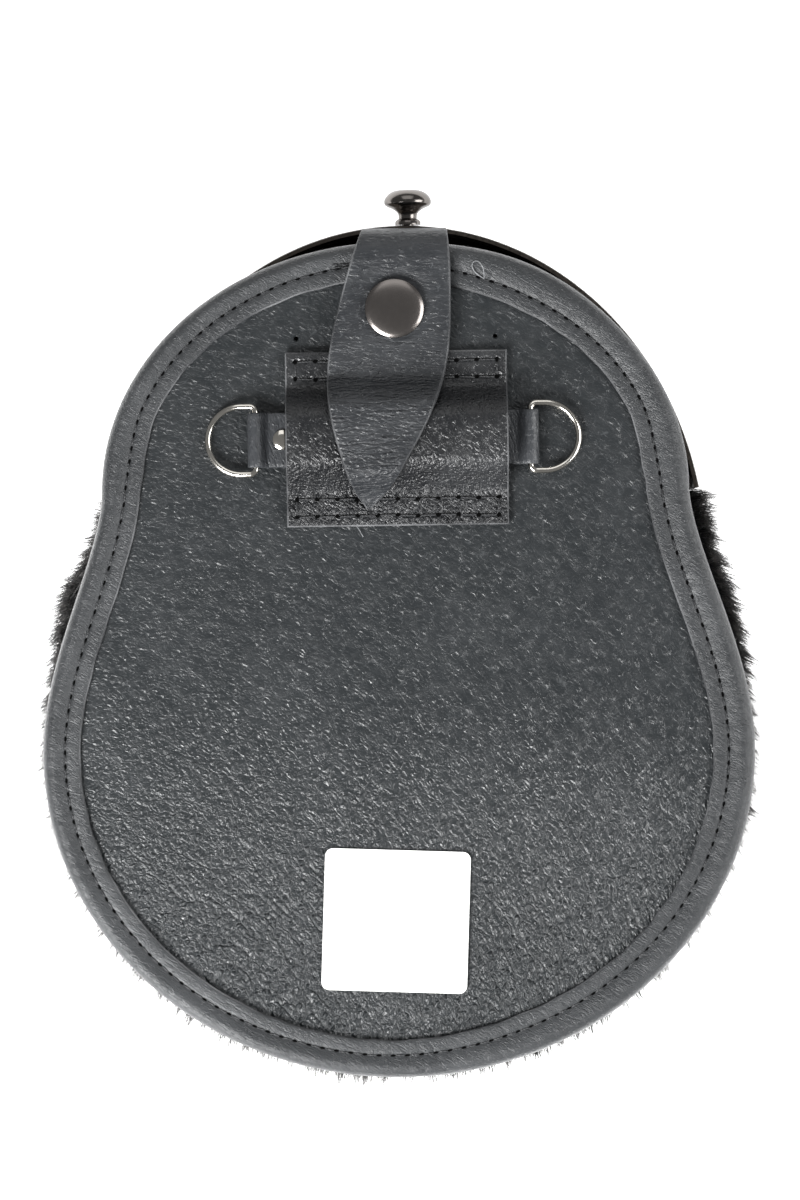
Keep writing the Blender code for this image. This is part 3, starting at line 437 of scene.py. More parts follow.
@dataclass(frozen=True)
class Leather:
    """Chrome-tanned cowhide, drum-dyed black with a pigmented topcoat.

    The topcoat gives a satin sheen. The embossed grain shows as soft pebbles with grooves between
    them. Where the hide was stretched less, longer folds run through it. Along some grooves a
    paler colour is painted: painted highlights where the groove edges would catch the light.
    """

    name: str
    colour: str
    # second, paler colour: the painted highlights along the grooves, and the paler clouds
    worn: str
    roughness: float
    cell: float  # width of one pebble of the grain
    depth: float  # height of the grain
    crease: float = 0.5  # how strong the painted highlights along the grooves are
    highlight_share: float = 0.5  # share of the grooves that get the painted highlights; there the pebbles are deeper too
    stretch: float = 1.6  # length of a pebble against its width
    slant: float = 0.0  # direction of the pebbles, in degrees
    swirl: float = 0.0  # change of that direction towards +X and -Y, in degrees per metre
    fold: float = 0.6  # depth of the long folds against the pebbles
    fade: float = 0.0  # how much weaker the grain gets towards the top
    fading: tuple[float, float] = (-90.0 * MM, 30.0 * MM)  # heights where that starts and ends
    bloom: float = 0.05  # share of paler clouds
    haze: float = 0.0  # bloom of wax, seen at a slant

    def build(self) -> bpy.types.Material:
        """Make the material.

        Returns:
            Leather with two sizes of pebbles, long folds, painted highlights along some grooves and slow changes
            of tone.
        """
        made, tree, shader = new_material(self.name)
        place = add_node(tree, "TexCoord").outputs["Object"]
        axes = add_node(tree, "SeparateXYZ", {0: place}).outputs
        turn = add_node(tree, "Math", {0: axes["X"], 1: axes["Y"]}, operation="SUBTRACT")
        angle = add_node(
            tree,
            "Math",
            {0: turn.outputs[0], 1: math.radians(self.swirl), 2: math.radians(self.slant)},
            operation="MULTIPLY_ADD",
        )
        spun = add_node(tree, "VectorRotate", {"Vector": place, "Angle": angle.outputs[0]})
        long = add_node(tree, "Mapping", {"Vector": spun.outputs[0], "Scale": (1.0 / self.stretch, 1.0, 1.0)})
        sway = add_node(
            tree, "TexNoise", {"Vector": long.outputs[0], "Scale": 0.5 / self.cell, "Detail": 1.5}
        )
        bent = add_node(
            tree,
            "VectorMath",
            {0: sway.outputs["Color"], 1: (1.2 * self.cell,) * 3, 2: long.outputs[0]},
            operation="MULTIPLY_ADD",
        ).outputs[0]
        pebbles = add_node(
            tree, "TexVoronoi", {"Vector": bent, "Scale": 1.0 / self.cell}, feature="DISTANCE_TO_EDGE"
        ).outputs[0]
        grains = add_node(
            tree, "TexVoronoi", {"Vector": bent, "Scale": 2.2 / self.cell}, feature="DISTANCE_TO_EDGE"
        ).outputs[0]
        lumps = add_node(
            tree, "TexNoise", {"Vector": bent, "Scale": 0.5 / self.cell, "Detail": 3.0}
        ).outputs[0]
        drawn = add_node(tree, "Mapping", {"Vector": bent, "Scale": (0.4, 1.0, 1.0)})
        folds = add_node(
            tree, "TexNoise", {"Vector": drawn.outputs[0], "Scale": 0.25 / self.cell, "Detail": 2.0}
        )
        folds = add_node(tree, "Math", {0: folds.outputs[0], 1: 0.5}, operation="SUBTRACT")
        folds = add_node(tree, "Math", {0: folds.outputs[0]}, operation="ABSOLUTE").outputs[0]
        patch = add_node(
            tree, "TexNoise", {"Vector": place, "Scale": 0.75 / self.cell, "Detail": 2.0}
        ).outputs[0]
        tone = add_node(tree, "TexNoise", {"Vector": place, "Scale": 60.0, "Detail": 4.0}).outputs[0]
        start = 0.68 - 0.3 * self.highlight_share
        smooth = {}
        for name, source, low, high, first, last in (
            ("stronger", axes["Y"], *self.fading, 1.0, 1.0 - self.fade),
            ("highlight_share", patch, start, start + 0.12, 0.0, 1.0),
            ("pebbles", pebbles, 0.0, 0.42, 0.0, 1.0),
            ("grains", grains, 0.0, 0.25, 0.0, 1.0),
            ("folds", folds, 0.0, 0.06, -1.0, 0.0),
            ("line", pebbles, 0.0, 0.08, 1.0, 0.0),
            ("clouds", tone, 0.4, 0.75, 0.0, self.bloom),
            ("gloss", lumps, 0.3, 0.7, self.roughness - 0.06, self.roughness + 0.08),
        ):
            limits = {"Value": source, "From Min": low, "From Max": high, "To Min": first, "To Max": last}
            smooth[name] = add_node(tree, "MapRange", limits, interpolation_type="SMOOTHSTEP").outputs[0]
        deep = add_node(tree, "Math", {0: smooth["highlight_share"], 1: 0.8, 2: 0.5}, operation="MULTIPLY_ADD")
        height = add_node(tree, "Math", {0: smooth["pebbles"], 1: deep.outputs[0]}, operation="MULTIPLY")
        firm = add_node(tree, "Math", {0: smooth["stronger"], 1: 2.0}, operation="POWER")
        folds = add_node(tree, "Math", {0: smooth["folds"], 1: firm.outputs[0]}, operation="MULTIPLY")
        for source, share in ((smooth["grains"], 0.16), (lumps, 1.3), (folds.outputs[0], self.fold)):
            height = add_node(
                tree, "Math", {0: source, 1: share, 2: height.outputs[0]}, operation="MULTIPLY_ADD"
            )
        bump = add_node(
            tree,
            "Bump",
            {"Height": height.outputs[0], "Distance": self.depth, "Strength": smooth["stronger"]},
        )
        # painted highlight: pale colour along the groove lines, inside the highlight patches
        line = add_node(tree, "Math", {0: smooth["line"], 1: smooth["highlight_share"]}, operation="MULTIPLY")
        pale = add_node(
            tree, "Math", {0: line.outputs[0], 1: self.crease, 2: smooth["clouds"]}, operation="MULTIPLY_ADD"
        )
        coat = add_node(
            tree,
            "Mix",
            {"Factor": pale.outputs[0], 6: linear(self.colour), 7: linear(self.worn)},
            data_type="RGBA",
        )
        tree.links.new(coat.outputs[2], shader.inputs["Base Color"])
        tree.links.new(smooth["gloss"], shader.inputs["Roughness"])
        tree.links.new(bump.outputs[0], shader.inputs["Normal"])
        shader.inputs["IOR"].default_value = 1.5
        shader.inputs["Sheen Weight"].default_value = self.haze
        shader.inputs["Sheen Roughness"].default_value = 0.35
        return made


@dataclass(frozen=True)
class Metal:
    """Cast white metal, electroplated and buffed, with fine scuffs and a mottled patina."""

    name: str
    colour: str
    worn: str
    roughness: float
    scuff: float = 0.5  # share of the surface whose plating is worn
    grit: float = 0.25 * MM  # spacing of the scuffs
    dent: float = 0.03 * MM  # depth of the scuffs
    uneven: float = 0.4  # how much the gloss varies

    def build(self) -> bpy.types.Material:
        """Make the material.

        Returns:
            Plated metal, a little uneven in tone and gloss.
        """
        made, tree, shader = new_material(self.name)
        place = add_node(tree, "TexCoord").outputs["Object"]
        patina = add_node(
            tree, "TexNoise", {"Vector": place, "Scale": 260.0, "Detail": 5.0, "Roughness": 0.7}
        )
        scuffs = add_node(
            tree, "TexNoise", {"Vector": place, "Scale": 1.0 / self.grit / 4.0, "Detail": 3.0}
        )
        wear = add_node(
            tree,
            "MapRange",
            {"Value": patina.outputs["Fac"], "From Min": 1.0 - self.scuff, "From Max": 1.15 - self.scuff},
        )
        tint = add_node(
            tree,
            "Mix",
            {"Factor": wear.outputs[0], 6: linear(self.colour), 7: linear(self.worn)},
            data_type="RGBA",
        )
        gloss = add_node(
            tree,
            "MapRange",
            {
                "Value": scuffs.outputs["Fac"],
                "From Min": 0.3,
                "From Max": 0.7,
                "To Min": self.roughness * (1.0 - self.uneven),
                "To Max": self.roughness * (1.0 + self.uneven),
            },
        )
        bump = add_node(
            tree,
            "Bump",
            {"Height": scuffs.outputs["Fac"], "Distance": self.dent, "Strength": 0.6},
        )
        tree.links.new(tint.outputs[2], shader.inputs["Base Color"])
        tree.links.new(gloss.outputs[0], shader.inputs["Roughness"])
        tree.links.new(bump.outputs[0], shader.inputs["Normal"])
        shader.inputs["Metallic"].default_value = 1.0
        return made


@dataclass(frozen=True)
class Fur:
    """Dyed seal skin: short stiff hair, near black and glossy along its length, with a paler colour mixed in lock
    by lock; on the hair at the rim that paler colour is painted rim light.
    """

    name: str
    colour: str
    # paler colour, mixed in lock by lock; on the hair at the rim it is painted rim light
    pale_lock_and_rim_light: str
    roughness: float

    def build(self) -> bpy.types.Material:
        """Make the material.

        Returns:
            Dark hair whose tone varies from lock to lock.
        """
        made, tree, shader = new_material(self.name)
        place = add_node(tree, "TexCoord").outputs["Object"]
        lock = add_node(tree, "TexNoise", {"Vector": place, "Scale": 450.0, "Detail": 4.0})
        share = add_node(
            tree,
            "MapRange",
            {"Value": lock.outputs["Fac"], "From Min": 0.42, "From Max": 0.8},
        )
        tint = add_node(
            tree,
            "Mix",
            {"Factor": share.outputs[0], 6: linear(self.colour), 7: linear(self.pale_lock_and_rim_light)},
            data_type="RGBA",
        )
        tree.links.new(tint.outputs[2], shader.inputs["Base Color"])
        shader.inputs["Roughness"].default_value = self.roughness
        shader.inputs["IOR"].default_value = 1.55
        shader.inputs["Sheen Weight"].default_value = 0.25
        shader.inputs["Sheen Roughness"].default_value = 0.5
        return made


@dataclass(frozen=True)
class Paper:
    """Matt-coated label paper: almost white, with a faint unevenness from its pulp."""

    name: str
    colour: str
    shade: str

    def build(self) -> bpy.types.Material:
        """Make the material.

        Returns:
            White paper with faint fibres.
        """
        made, tree, shader = new_material(self.name)
        place = add_node(tree, "TexCoord").outputs["Object"]
        pulp = add_node(tree, "TexNoise", {"Vector": place, "Scale": 900.0, "Detail": 4.0})
        tint = add_node(
            tree,
            "Mix",
            {"Factor": pulp.outputs["Fac"], 6: linear(self.colour), 7: linear(self.shade)},
            data_type="RGBA",
        )
        bump = add_node(
            tree,
            "Bump",
            {"Height": pulp.outputs["Fac"], "Distance": 0.02 * MM, "Strength": 0.5},
        )
        tree.links.new(tint.outputs[2], shader.inputs["Base Color"])
        tree.links.new(bump.outputs[0], shader.inputs["Normal"])
        shader.inputs["Roughness"].default_value = 0.55
        return made


@dataclass(frozen=True)
class Thread:
    """Waxed polyester thread, three plies twisted, which show as slanting bands."""

    name: str
    colour: str
    shade: str
    ply: float = 0.45 * MM  # length of one turn of the twist, drawn coarse enough to show

    def build(self) -> bpy.types.Material:
        """Make the material.

        Returns:
            Twisted thread with a waxy gloss.
        """
        made, tree, shader = new_material(self.name)
        place = add_node(tree, "TexCoord").outputs["Object"]
        twist = add_node(
            tree,
            "TexWave",
            {"Vector": place, "Scale": 0.32 / self.ply, "Distortion": 1.5, "Detail": 1.0},
            bands_direction="DIAGONAL",
        )
        tint = add_node(
            tree,
            "Mix",
            {"Factor": twist.outputs["Fac"], 6: linear(self.shade), 7: linear(self.colour)},
            data_type="RGBA",
        )
        bump = add_node(
            tree,
            "Bump",
            {"Height": twist.outputs["Fac"], "Distance": 0.08 * MM, "Strength": 0.7},
        )
        tree.links.new(tint.outputs[2], shader.inputs["Base Color"])
        tree.links.new(bump.outputs[0], shader.inputs["Normal"])
        shader.inputs["Roughness"].default_value = 0.5
        return made


@dataclass(frozen=True)
class PaintedHoleShadow:
    """Painted shadow: the shade inside a needle hole, drawn as near-black matt colour with faint fibres."""

    name: str
    colour: str
    fibre: str

    def build(self) -> bpy.types.Material:
        """Make the material.

        Returns:
            Matt black with faint fibres.
        """
        made, tree, shader = new_material(self.name)
        place = add_node(tree, "TexCoord").outputs["Object"]
        nap = add_node(tree, "TexNoise", {"Vector": place, "Scale": 3000.0})
        tint = add_node(
            tree,
            "Mix",
            {"Factor": nap.outputs["Fac"], 6: linear(self.colour), 7: linear(self.fibre)},
            data_type="RGBA",
        )
        tree.links.new(tint.outputs[2], shader.inputs["Base Color"])
        shader.inputs["Roughness"].default_value = 1.0
        shader.inputs["Specular IOR Level"].default_value = 0.05
        return made


@dataclass(frozen=True)
class Finishes:
    """Every finish of the pouch, built once."""

    panel: bpy.types.Material
    loop: bpy.types.Material
    binding: bpy.types.Material
    strap: bpy.types.Material
    tab: bpy.types.Material
    cut: bpy.types.Material
    gusset: bpy.types.Material
    pelt: bpy.types.Material
    hair: bpy.types.Material
    wisps: bpy.types.Material
    cantle: bpy.types.Material
    snap: bpy.types.Material
    knob: bpy.types.Material
    nickel: bpy.types.Material
    paper: bpy.types.Material
    thread: bpy.types.Material
    pale_thread: bpy.types.Material
    hole: bpy.types.Material

    @classmethod
    def build(cls) -> "Finishes":
        """Make all the materials."""
        return cls(
            # In each leather the second, pale colour and crease paint highlights along the grooves
            panel=Leather(
                "grained leather",
                "#202325",
                "#A2A5A8",
                0.36,
                1.45 * MM,
                0.45 * MM,
                crease=0.08,
                highlight_share=0.5,
                stretch=1.25,
                slant=40.0,
                swirl=130.0,
                fold=0.8,
                fade=0.62,
                fading=(-95.0 * MM, -4.0 * MM),
                bloom=0.015,
            ).build(),
            loop=Leather(
                "belt loop leather",
                "#18191B",
                "#A2A5A8",
                0.3,
                1.05 * MM,
                0.42 * MM,
                crease=0.06,
                slant=50.0,
                fade=0.6,
                fading=(30.0 * MM, 56.0 * MM),
            ).build(),
            binding=Leather(
                "binding leather",
                "#282A2C",
                "#8C8E91",
                0.44,
                0.5 * MM,
                0.09 * MM,
                crease=0.1,
                stretch=2.2,
                slant=30.0,
                fold=0.5,
                haze=0.3,
            ).build(),
            strap=Leather(
                "strap leather",
                "#232528",
                "#A2A5A8",
                0.40,
                1.15 * MM,
                0.26 * MM,
                crease=0.12,
                highlight_share=0.5,
                stretch=2.6,
                fold=0.5,
                fade=0.5,
                fading=(62.0 * MM, 88.0 * MM),
            ).build(),
            tab=Leather(
                "tab leather",
                "#323437",
                "#A2A5A8",
                0.42,
                0.8 * MM,
                0.1 * MM,
                crease=0.1,
                stretch=2.2,
                slant=75.0,
            ).build(),
            cut=Leather(
                "cut leather edge", "#333436", "#8A8B8D", 0.6, 0.4 * MM, 0.08 * MM, bloom=0.6
            ).build(),
            gusset=Leather("gusset leather", "#1B1C1D", "#4A4B4D", 0.5, 1.4 * MM, 0.08 * MM).build(),
            pelt=Fur("pelt", "#0B0B0B", "#1C1B1B", 0.75).build(),
            hair=Fur("seal hair", "#161515", "#625F5C", 0.32).build(),
            # painted rim light: the hair at the rim is coloured much paler than the same hair on the dome
            wisps=Fur("seal hair with painted rim light", "#2E2D2C", "#A8A6A3", 0.45).build(),
            cantle=Metal("gunmetal plate", "#58534E", "#7F7972", 0.34, scuff=0.36).build(),
            snap=Metal(
                "oxidised brass", "#7F7A77", "#827D7A", 0.26, scuff=0.5, dent=0.002 * MM, uneven=0.04
            ).build(),
            knob=Metal(
                "polished gunmetal", "#6A6663", "#8B8885", 0.2, scuff=0.3, dent=0.005 * MM, uneven=0.2
            ).build(),
            nickel=Metal(
                "nickel plate", "#D6D2CA", "#E0DDD6", 0.16, scuff=0.5, dent=0.003 * MM, uneven=0.1
            ).build(),
            paper=Paper("label paper", "#F4F4F3", "#ECECEB").build(),
            thread=Thread("waxed thread", "#3A3B3D", "#1E1F20").build(),
            pale_thread=Thread("loose thread", "#8E9092", "#6A6B6D").build(),
            # painted shadow inside the needle holes
            hole=PaintedHoleShadow("painted needle hole shadow", "#020202", "#090909").build(),
        )


# Forms that the pieces share


@dataclass
class BackOutline:
    """Pear outline of the back: an arch, a waist and a lobe."""

    arch_half_width: float = 74.7 * MM
    arch_rise: float = 63.2 * MM
    waist_length: float = 66.5 * MM
    waist_lean: float = 0.85
    lobe_half_width: float = 90.5 * MM
    lobe_drop: float = 82.8 * MM
    lobe_y: float = -29.5 * MM
    depth: float = 43.0 * MM  # floor to the outer face of the panel

    @property
    def arch_y(self) -> float:
        """Height where the arch starts."""
        return self.lobe_y + self.waist_length

    @property
    def top_y(self) -> float:
        """Top of the arch."""
        return self.arch_y + self.arch_rise

    @property
    def bottom_y(self) -> float:
        """Bottom of the lobe."""
        return self.lobe_y - self.lobe_drop

    def half_width(self, y: Array | float) -> Array:
        """Half-width at this height."""
        y = np.asarray(y, float)
        arch = np.clip((y - self.arch_y) / self.arch_rise, 0.0, 1.0)
        lobe = np.clip((self.lobe_y - y) / self.lobe_drop, 0.0, 1.0)
        down = np.clip((self.arch_y - y) / self.waist_length, 0.0, 1.0) ** self.waist_lean
        waist = mix(self.arch_half_width, self.lobe_half_width, ease(down))
        width = np.where(y >= self.arch_y, self.arch_half_width * np.sqrt(1.0 - arch**2), waist)
        return np.where(y <= self.lobe_y, self.lobe_half_width * np.sqrt(1.0 - lobe**2), width)

    def walk(self, count: int) -> tuple[Array, Array, Array]:
        """Even steps round the outline, anticlockwise from the right end of the arch.

        Args:
            count: How many steps.

        Returns:
            Points x 2, inward directions x 2, and the distance walked to each.
        """
        turn = np.linspace(0.0, math.pi, 400, endpoint=False)
        arch = np.stack([self.arch_half_width * np.cos(turn), self.arch_y + self.arch_rise * np.sin(turn)], 1)
        y = np.linspace(self.arch_y, self.lobe_y, 200, endpoint=False)
        waist = np.stack([-self.half_width(y), y], 1)
        turn = turn + math.pi
        lobe = np.stack([self.lobe_half_width * np.cos(turn), self.lobe_y + self.lobe_drop * np.sin(turn)], 1)
        y = np.linspace(self.lobe_y, self.arch_y, 200, endpoint=False)
        back = np.stack([self.half_width(y), y], 1)
        points = np.concatenate([arch, waist, lobe, back])
        loop = np.concatenate([points, points[:1]])
        walked = np.concatenate([[0.0], np.cumsum(np.linalg.norm(np.diff(loop, axis=0), axis=1))])
        at = np.linspace(0.0, walked[-1], count, endpoint=False)
        x = np.interp(at, walked, loop[:, 0])
        y = np.interp(at, walked, loop[:, 1])
        even = np.stack([x, y], 1)
        return even, crossways(np.roll(even, -1, 0) - np.roll(even, 1, 0)), at


@dataclass
class FrontForm:
    """Form of the front: the cantle's arch above, and a dome of pelt below."""

    back: BackOutline
    cantle_half_width: float = 76.8 * MM
    cantle_rise: float = 85.4 * MM
    overhang: float = 4.9 * MM
    cantle_shift: float = 2.7 * MM
    rim_depth: float = 24.0 * MM
    half_width_pelt: float = 89.5 * MM
    shoulder_rise: float = 125.0 * MM
    blend: float = 27.0 * MM
    power: float = 2.4
    fullness: float = 0.55
    top_drop: float = 1.0 * MM
    corner_inset: float = 6.5 * MM
    setback: float = 2.4 * MM
    lobe_part: float = 0.67

    @property
    def cantle_top_y(self) -> float:
        """Outer face of the cantle's rim at the middle."""
        return self.back.top_y + self.overhang

    @property
    def cantle_y(self) -> float:
        """Centre of the cantle's arch."""
        return self.cantle_top_y - self.cantle_rise

    @property
    def drop(self) -> float:
        """Lobe of the pelt, a seat's width longer than the back's."""
        return self.back.lobe_drop + SEAT

    @property
    def top_y(self) -> float:
        """Top edge of the pelt."""
        return self.back.arch_y - self.top_drop

    def blended(self, y: Array) -> Array:
        """0 at the cantle and 1 where the pelt has its own outline."""
        return ease((self.back.arch_y - y) / self.blend)

    def half_width(self, y: Array) -> Array:
        """Half-width of the front at this height."""
        up = np.clip((y - self.cantle_y) / self.cantle_rise, 0.0, 1.0)
        cantle = self.cantle_half_width * np.sqrt(1.0 - up**2)
        reach = np.where(y > self.back.lobe_y, self.shoulder_rise, self.drop)
        across = np.clip(np.abs(y - self.back.lobe_y) / reach, 0.0, 1.0)
        pelt = self.half_width_pelt * np.sqrt(1.0 - across**2)
        return mix(cantle, pelt, self.blended(y))

    def shift(self, y: Array) -> Array:
        """Sideways place of the front's middle line."""
        return mix(self.cantle_shift, 0.0, self.blended(y))

    def depth(self, x: Array, y: Array) -> Array:
        """Height of the outer surface above the floor."""
        rise = np.clip(y - self.cantle_y, 0.0, None) / self.cantle_rise
        drop = np.clip(self.back.lobe_y - y, 0.0, None) / self.drop
        across = (x - self.shift(y)) / np.maximum(self.half_width(y), MM)
        inside = np.clip(1.0 - across**2, 0, 1) * np.clip(1.0 - rise**2, 0, 1) * np.clip(1.0 - drop**2, 0, 1)
        crown = 1.0 - (1.0 - inside) ** (self.power / 2.0)
        return self.rim_depth * (1.0 - crown**self.fullness)

    def rail(self, share: Array, back: bool = False) -> Array:
        """Bottom outline from its left end (0) to its right end (1).

        Args:
            share: Where on it.
            back: Whether it is the back's outline and not the pelt's.

        Returns:
            Points x 2.
        """
        side = np.where(share > 0.5, 1.0, -1.0)
        up = np.abs(share - 0.5) * 2.0
        turn = np.clip(up / self.lobe_part, 0.0, 1.0) * math.pi / 2.0
        above = np.clip((up - self.lobe_part) / (1.0 - self.lobe_part), 0.0, 1.0)
        width = self.back.half_width if back else self.half_width
        drop = self.back.lobe_drop if back else self.drop
        y_side = mix(self.back.lobe_y, self.top_y, above)
        widest = width(np.full_like(up, self.back.lobe_y))
        x = np.where(up < self.lobe_part, widest * np.sin(turn), width(y_side))
        y = np.where(up < self.lobe_part, self.back.lobe_y - drop * np.cos(turn), y_side)
        x = side * x + (0.0 if back else self.shift(y))
        return np.stack([x, y], -1)

    def rail_inward(self, share: Array, back: bool = False) -> Array:
        """Directions x 2 that point inwards from the bottom outline."""
        step = 0.002
        before, after = np.clip(share - step, 0, 1), np.clip(share + step, 0, 1)
        return crossways(self.rail(after, back) - self.rail(before, back))

    def pelt(self, across: Array, along: Array) -> Array:
        """Points of the fan of fur from the cantle (0) to the rim (1)."""
        share = 2.0 * across - 1.0
        rim = self.rail(across)
        top = np.full_like(across, self.top_y)
        start = self.shift(top) + (self.half_width(top) - self.corner_inset) * share
        reach = np.sin(along * math.pi / 2.0)
        x = mix(start, rim[..., 0], reach)
        y = mix(top, rim[..., 1], reach)
        z = np.where(along >= 1.0, self.rim_depth, self.depth(x, y))
        return np.stack([x, y, z], -1)

    def pelt_frame(self, across: Array, along: Array) -> tuple[Array, Array, Array]:
        """Points, outward normals and the flow of the hair on the pelt."""
        step = 0.004
        a0, a1 = np.clip(across - step, 0, 1), np.clip(across + step, 0, 1)
        b0, b1 = np.clip(along - step, 0, 1), np.clip(along + step, 0, 1)
        here = self.pelt(across, along)
        side = self.pelt(a1, along) - self.pelt(a0, along)
        flow = self.pelt(across, b1) - self.pelt(across, b0)
        normal = np.cross(side, flow)
        normal = unit(normal)
        away = here - np.array([0.0, 0.0, self.rim_depth + SEAT])
        wrong = (normal * away).sum(-1, keepdims=True) < 0.0
        normal = np.where(wrong, -normal, normal)
        flow = unit(flow)
        return here, normal, flow


# Sub-assemblies


@dataclass
class LeatherBack:
    """Grained panel, its sewn binding, the seam and the folded gusset below it."""

    outline: BackOutline
    front: FrontForm
    finishes: Finishes
    panel_thickness: float = 2.0 * MM
    binding_width: float = 9.8 * MM
    roll_depth: float = 6.7 * MM
    roll_reach: float = 4.2 * MM
    crown: float = 1.9 * MM
    fullness: float = 1.1 * MM  # how far the roll bulges over the cantle at the top right
    seam_inset: float = 5.7 * MM
    seam_pitch: float = 3.85 * MM
    thread_radius: float = 0.17 * MM
    hole: tuple[float, float] = (0.68 * MM, 0.27 * MM)
    awl_radius: float = 0.55 * MM
    awl_holes_x: tuple[float, float] = (-24.7 * MM, 25.9 * MM)
    awl_below_top: float = 24.3 * MM
    gusset_leather: float = 1.4 * MM
    gusset_flange: float = 5.0 * MM
    gusset_fold: float = 6.5 * MM
    steps: int = 1080

    def build(self) -> None:
        """Make every piece of the back."""
        self.build_panel()
        self.build_binding()
        self.build_seam()
        self.build_gusset()

    def build_panel(self) -> None:
        """Panel with slow swells, set a little below the outer face, and two awl holes."""
        points, inward, _ = self.outline.walk(240)
        edge = points + inward * (self.roll_reach + SEAT)
        centre = np.array([0.0, -8.0 * MM])
        shares = np.concatenate([[1.0, 0.985, 0.965], np.linspace(0.94, 0.02, 44)])
        rings = centre + (edge - centre) * shares[:, None, None]
        swell = ripple(rings[..., 0] + 0.4 * rings[..., 1], 46 * MM, 3) * ripple(rings[..., 1], 38 * MM, 5)
        top = self.outline.depth - 0.12 * MM + 0.1 * MM * swell
        outer = np.concatenate([rings, top[..., None]], -1)
        inner = outer.copy()
        inner[..., 2] = self.outline.depth - self.panel_thickness
        loops = np.concatenate([outer[::-1], inner])
        mesh = loft(loops)
        panel = add_piece(
            "panel_leather", mesh, self.finishes.panel, replaced=["back_panel"], sharp=50.0
        )
        for x in self.awl_holes_x:
            self.pierce(panel, Vector((x, self.outline.top_y - self.awl_below_top, self.outline.depth)))

    def pierce(self, panel: bpy.types.Object, place: Vector) -> None:
        """Cut one awl hole with a worn, slightly sunk lip."""
        profile = (
            (0.0, 1.0 * MM),
            (self.awl_radius * 1.9, 1.0 * MM),
            (self.awl_radius * 1.5, -0.2 * MM),
            (self.awl_radius, -0.5 * MM),
            (self.awl_radius, -4.0 * MM),
            (0.0, -4.0 * MM),
        )
        data = turned(profile, 16, place)
        cutter = bpy.data.objects.new("awl", data)
        bpy.context.scene.collection.objects.link(cutter)
        cut = panel.modifiers.new("awl hole", "BOOLEAN")
        cut.operation = "DIFFERENCE"
        cut.solver = "EXACT"
        cut.object = cutter
        bpy.context.view_layer.update()
        graph = bpy.context.evaluated_depsgraph_get()
        result = bpy.data.meshes.new_from_object(panel.evaluated_get(graph))
        panel.modifiers.clear()
        panel.data = result
        bpy.data.objects.remove(cutter)

    def seam_offset(self, points: Array) -> Array:
        """Distance of the seam from the edge: more on the right, and at the two shoulders."""
        x, y = points[:, 0], points[:, 1]
        right = 1.1 * MM * ease((x + 10.0 * MM) / (50.0 * MM))
        shoulder = 0.9 * MM * bell((y - 46.0 * MM) / (16.0 * MM))
        return self.seam_inset + right + shoulder

    def section(self, along: Array, points: Array) -> tuple[Array, Array]:
        """Insets and heights of the binding's section at each step.

        Args:
            along: Distance walked round the outline.
            points: The outline at each step.

        Returns:
            Two arrays of steps x points: the inset from the edge, and the height above the panel.
        """
        seam = self.seam_offset(points)[:, None] / MM
        crown = self.crown / MM
        roll = self.roll_depth / MM
        lump = 0.10 * ripple(along, 19 * MM, 11)[:, None] + 0.05 * ripple(along, 5 * MM, 12)[:, None]
        pinch = (0.5 + 0.5 * np.cos(2.0 * math.pi * along / self.seam_step))[:, None]
        edge = seam + 3.9 + 0.12 * ripple(along, 9 * MM, 14)[:, None]
        one = np.ones_like(seam)
        full = -self.fullness / MM * bell((points[:, :1] - 34.0 * MM) / (32.0 * MM))
        full = full * (points[:, 1:] > 60.0 * MM)
        rows = [
            (edge, 0.28 * one),
            (edge + 0.04, 0.8 * one),
            (edge - 0.3, 1.12 * one),
            (edge - 0.55, 1.22 * one),
            (edge - 1.4, 1.26 * one + 0.4 * lump),
            (seam + 1.3, 1.28 - 0.03 * pinch + 0.4 * lump),
            (seam + 0.7, 1.24 - 0.07 * pinch),
            (seam + 0.35, 1.12 - 0.12 * pinch),
            (seam, 1.04 - 0.20 * pinch),
            (seam - 0.35, 1.12 - 0.12 * pinch),
            (seam - 0.75, 1.3 - 0.08 * pinch),
            (seam - 1.4, 1.52 - 0.04 * pinch + 0.4 * lump),
            (0.60 * seam, crown - 0.14 + 0.8 * lump),
            (0.46 * seam + 0.5 * full, crown + lump),
            (0.31 * seam + 0.8 * full, crown - 0.16 + lump),
            (0.18 * seam + full, crown - 0.62 + 0.9 * lump),
            (0.08 * seam + full, crown - 1.4 + 0.6 * lump),
            (0.02 * seam + full, crown - 2.35 + 0.3 * lump),
            (full, crown - 3.25 * one),
            (0.12 + 0.8 * full, crown - 0.66 * roll * one),
            (0.5 * one, crown - 0.80 * roll * one),
            (1.2 * one, crown - 0.92 * roll * one),
            (2.4 * one, crown - 1.0 * roll * one),
            (5.2 * one, crown - 0.99 * roll * one),
            (9.0 * one, crown - 0.88 * roll * one),
            (9.0 * one, -2.3 * one),
            (4.2 * one, -2.3 * one),
            (4.2 * one, 0.28 * one),
        ]
        insets = np.concatenate([row[0] for row in rows], 1) * MM
        heights = np.concatenate([row[1] for row in rows], 1) * MM
        return insets, heights

    @property
    def seam_step(self) -> float:
        """Pitch of the stitches, so that a whole number goes round."""
        _, _, along = self.outline.walk(self.steps)
        total = along[-1] + along[1]
        return total / round(total / self.seam_pitch)

    def build_binding(self) -> None:
        """Folded binding with a soft roll outside, a puckered seam and a cut inner edge."""
        points, inward, along = self.outline.walk(self.steps)
        insets, heights = self.section(along, points)
        rings = points[:, None] + inward[:, None] * insets[..., None]
        rings = np.concatenate([rings, (self.outline.depth + heights)[..., None]], -1)
        mesh = loft(rings, closed=True)
        mark_faces(mesh, rings.shape[1], (0, 1))
        add_piece(
            "binding_roll",
            mesh,
            self.finishes.binding,
            replaced=["edge_binding"],
            sharp=55.0,
            cut=self.finishes.cut,
        )

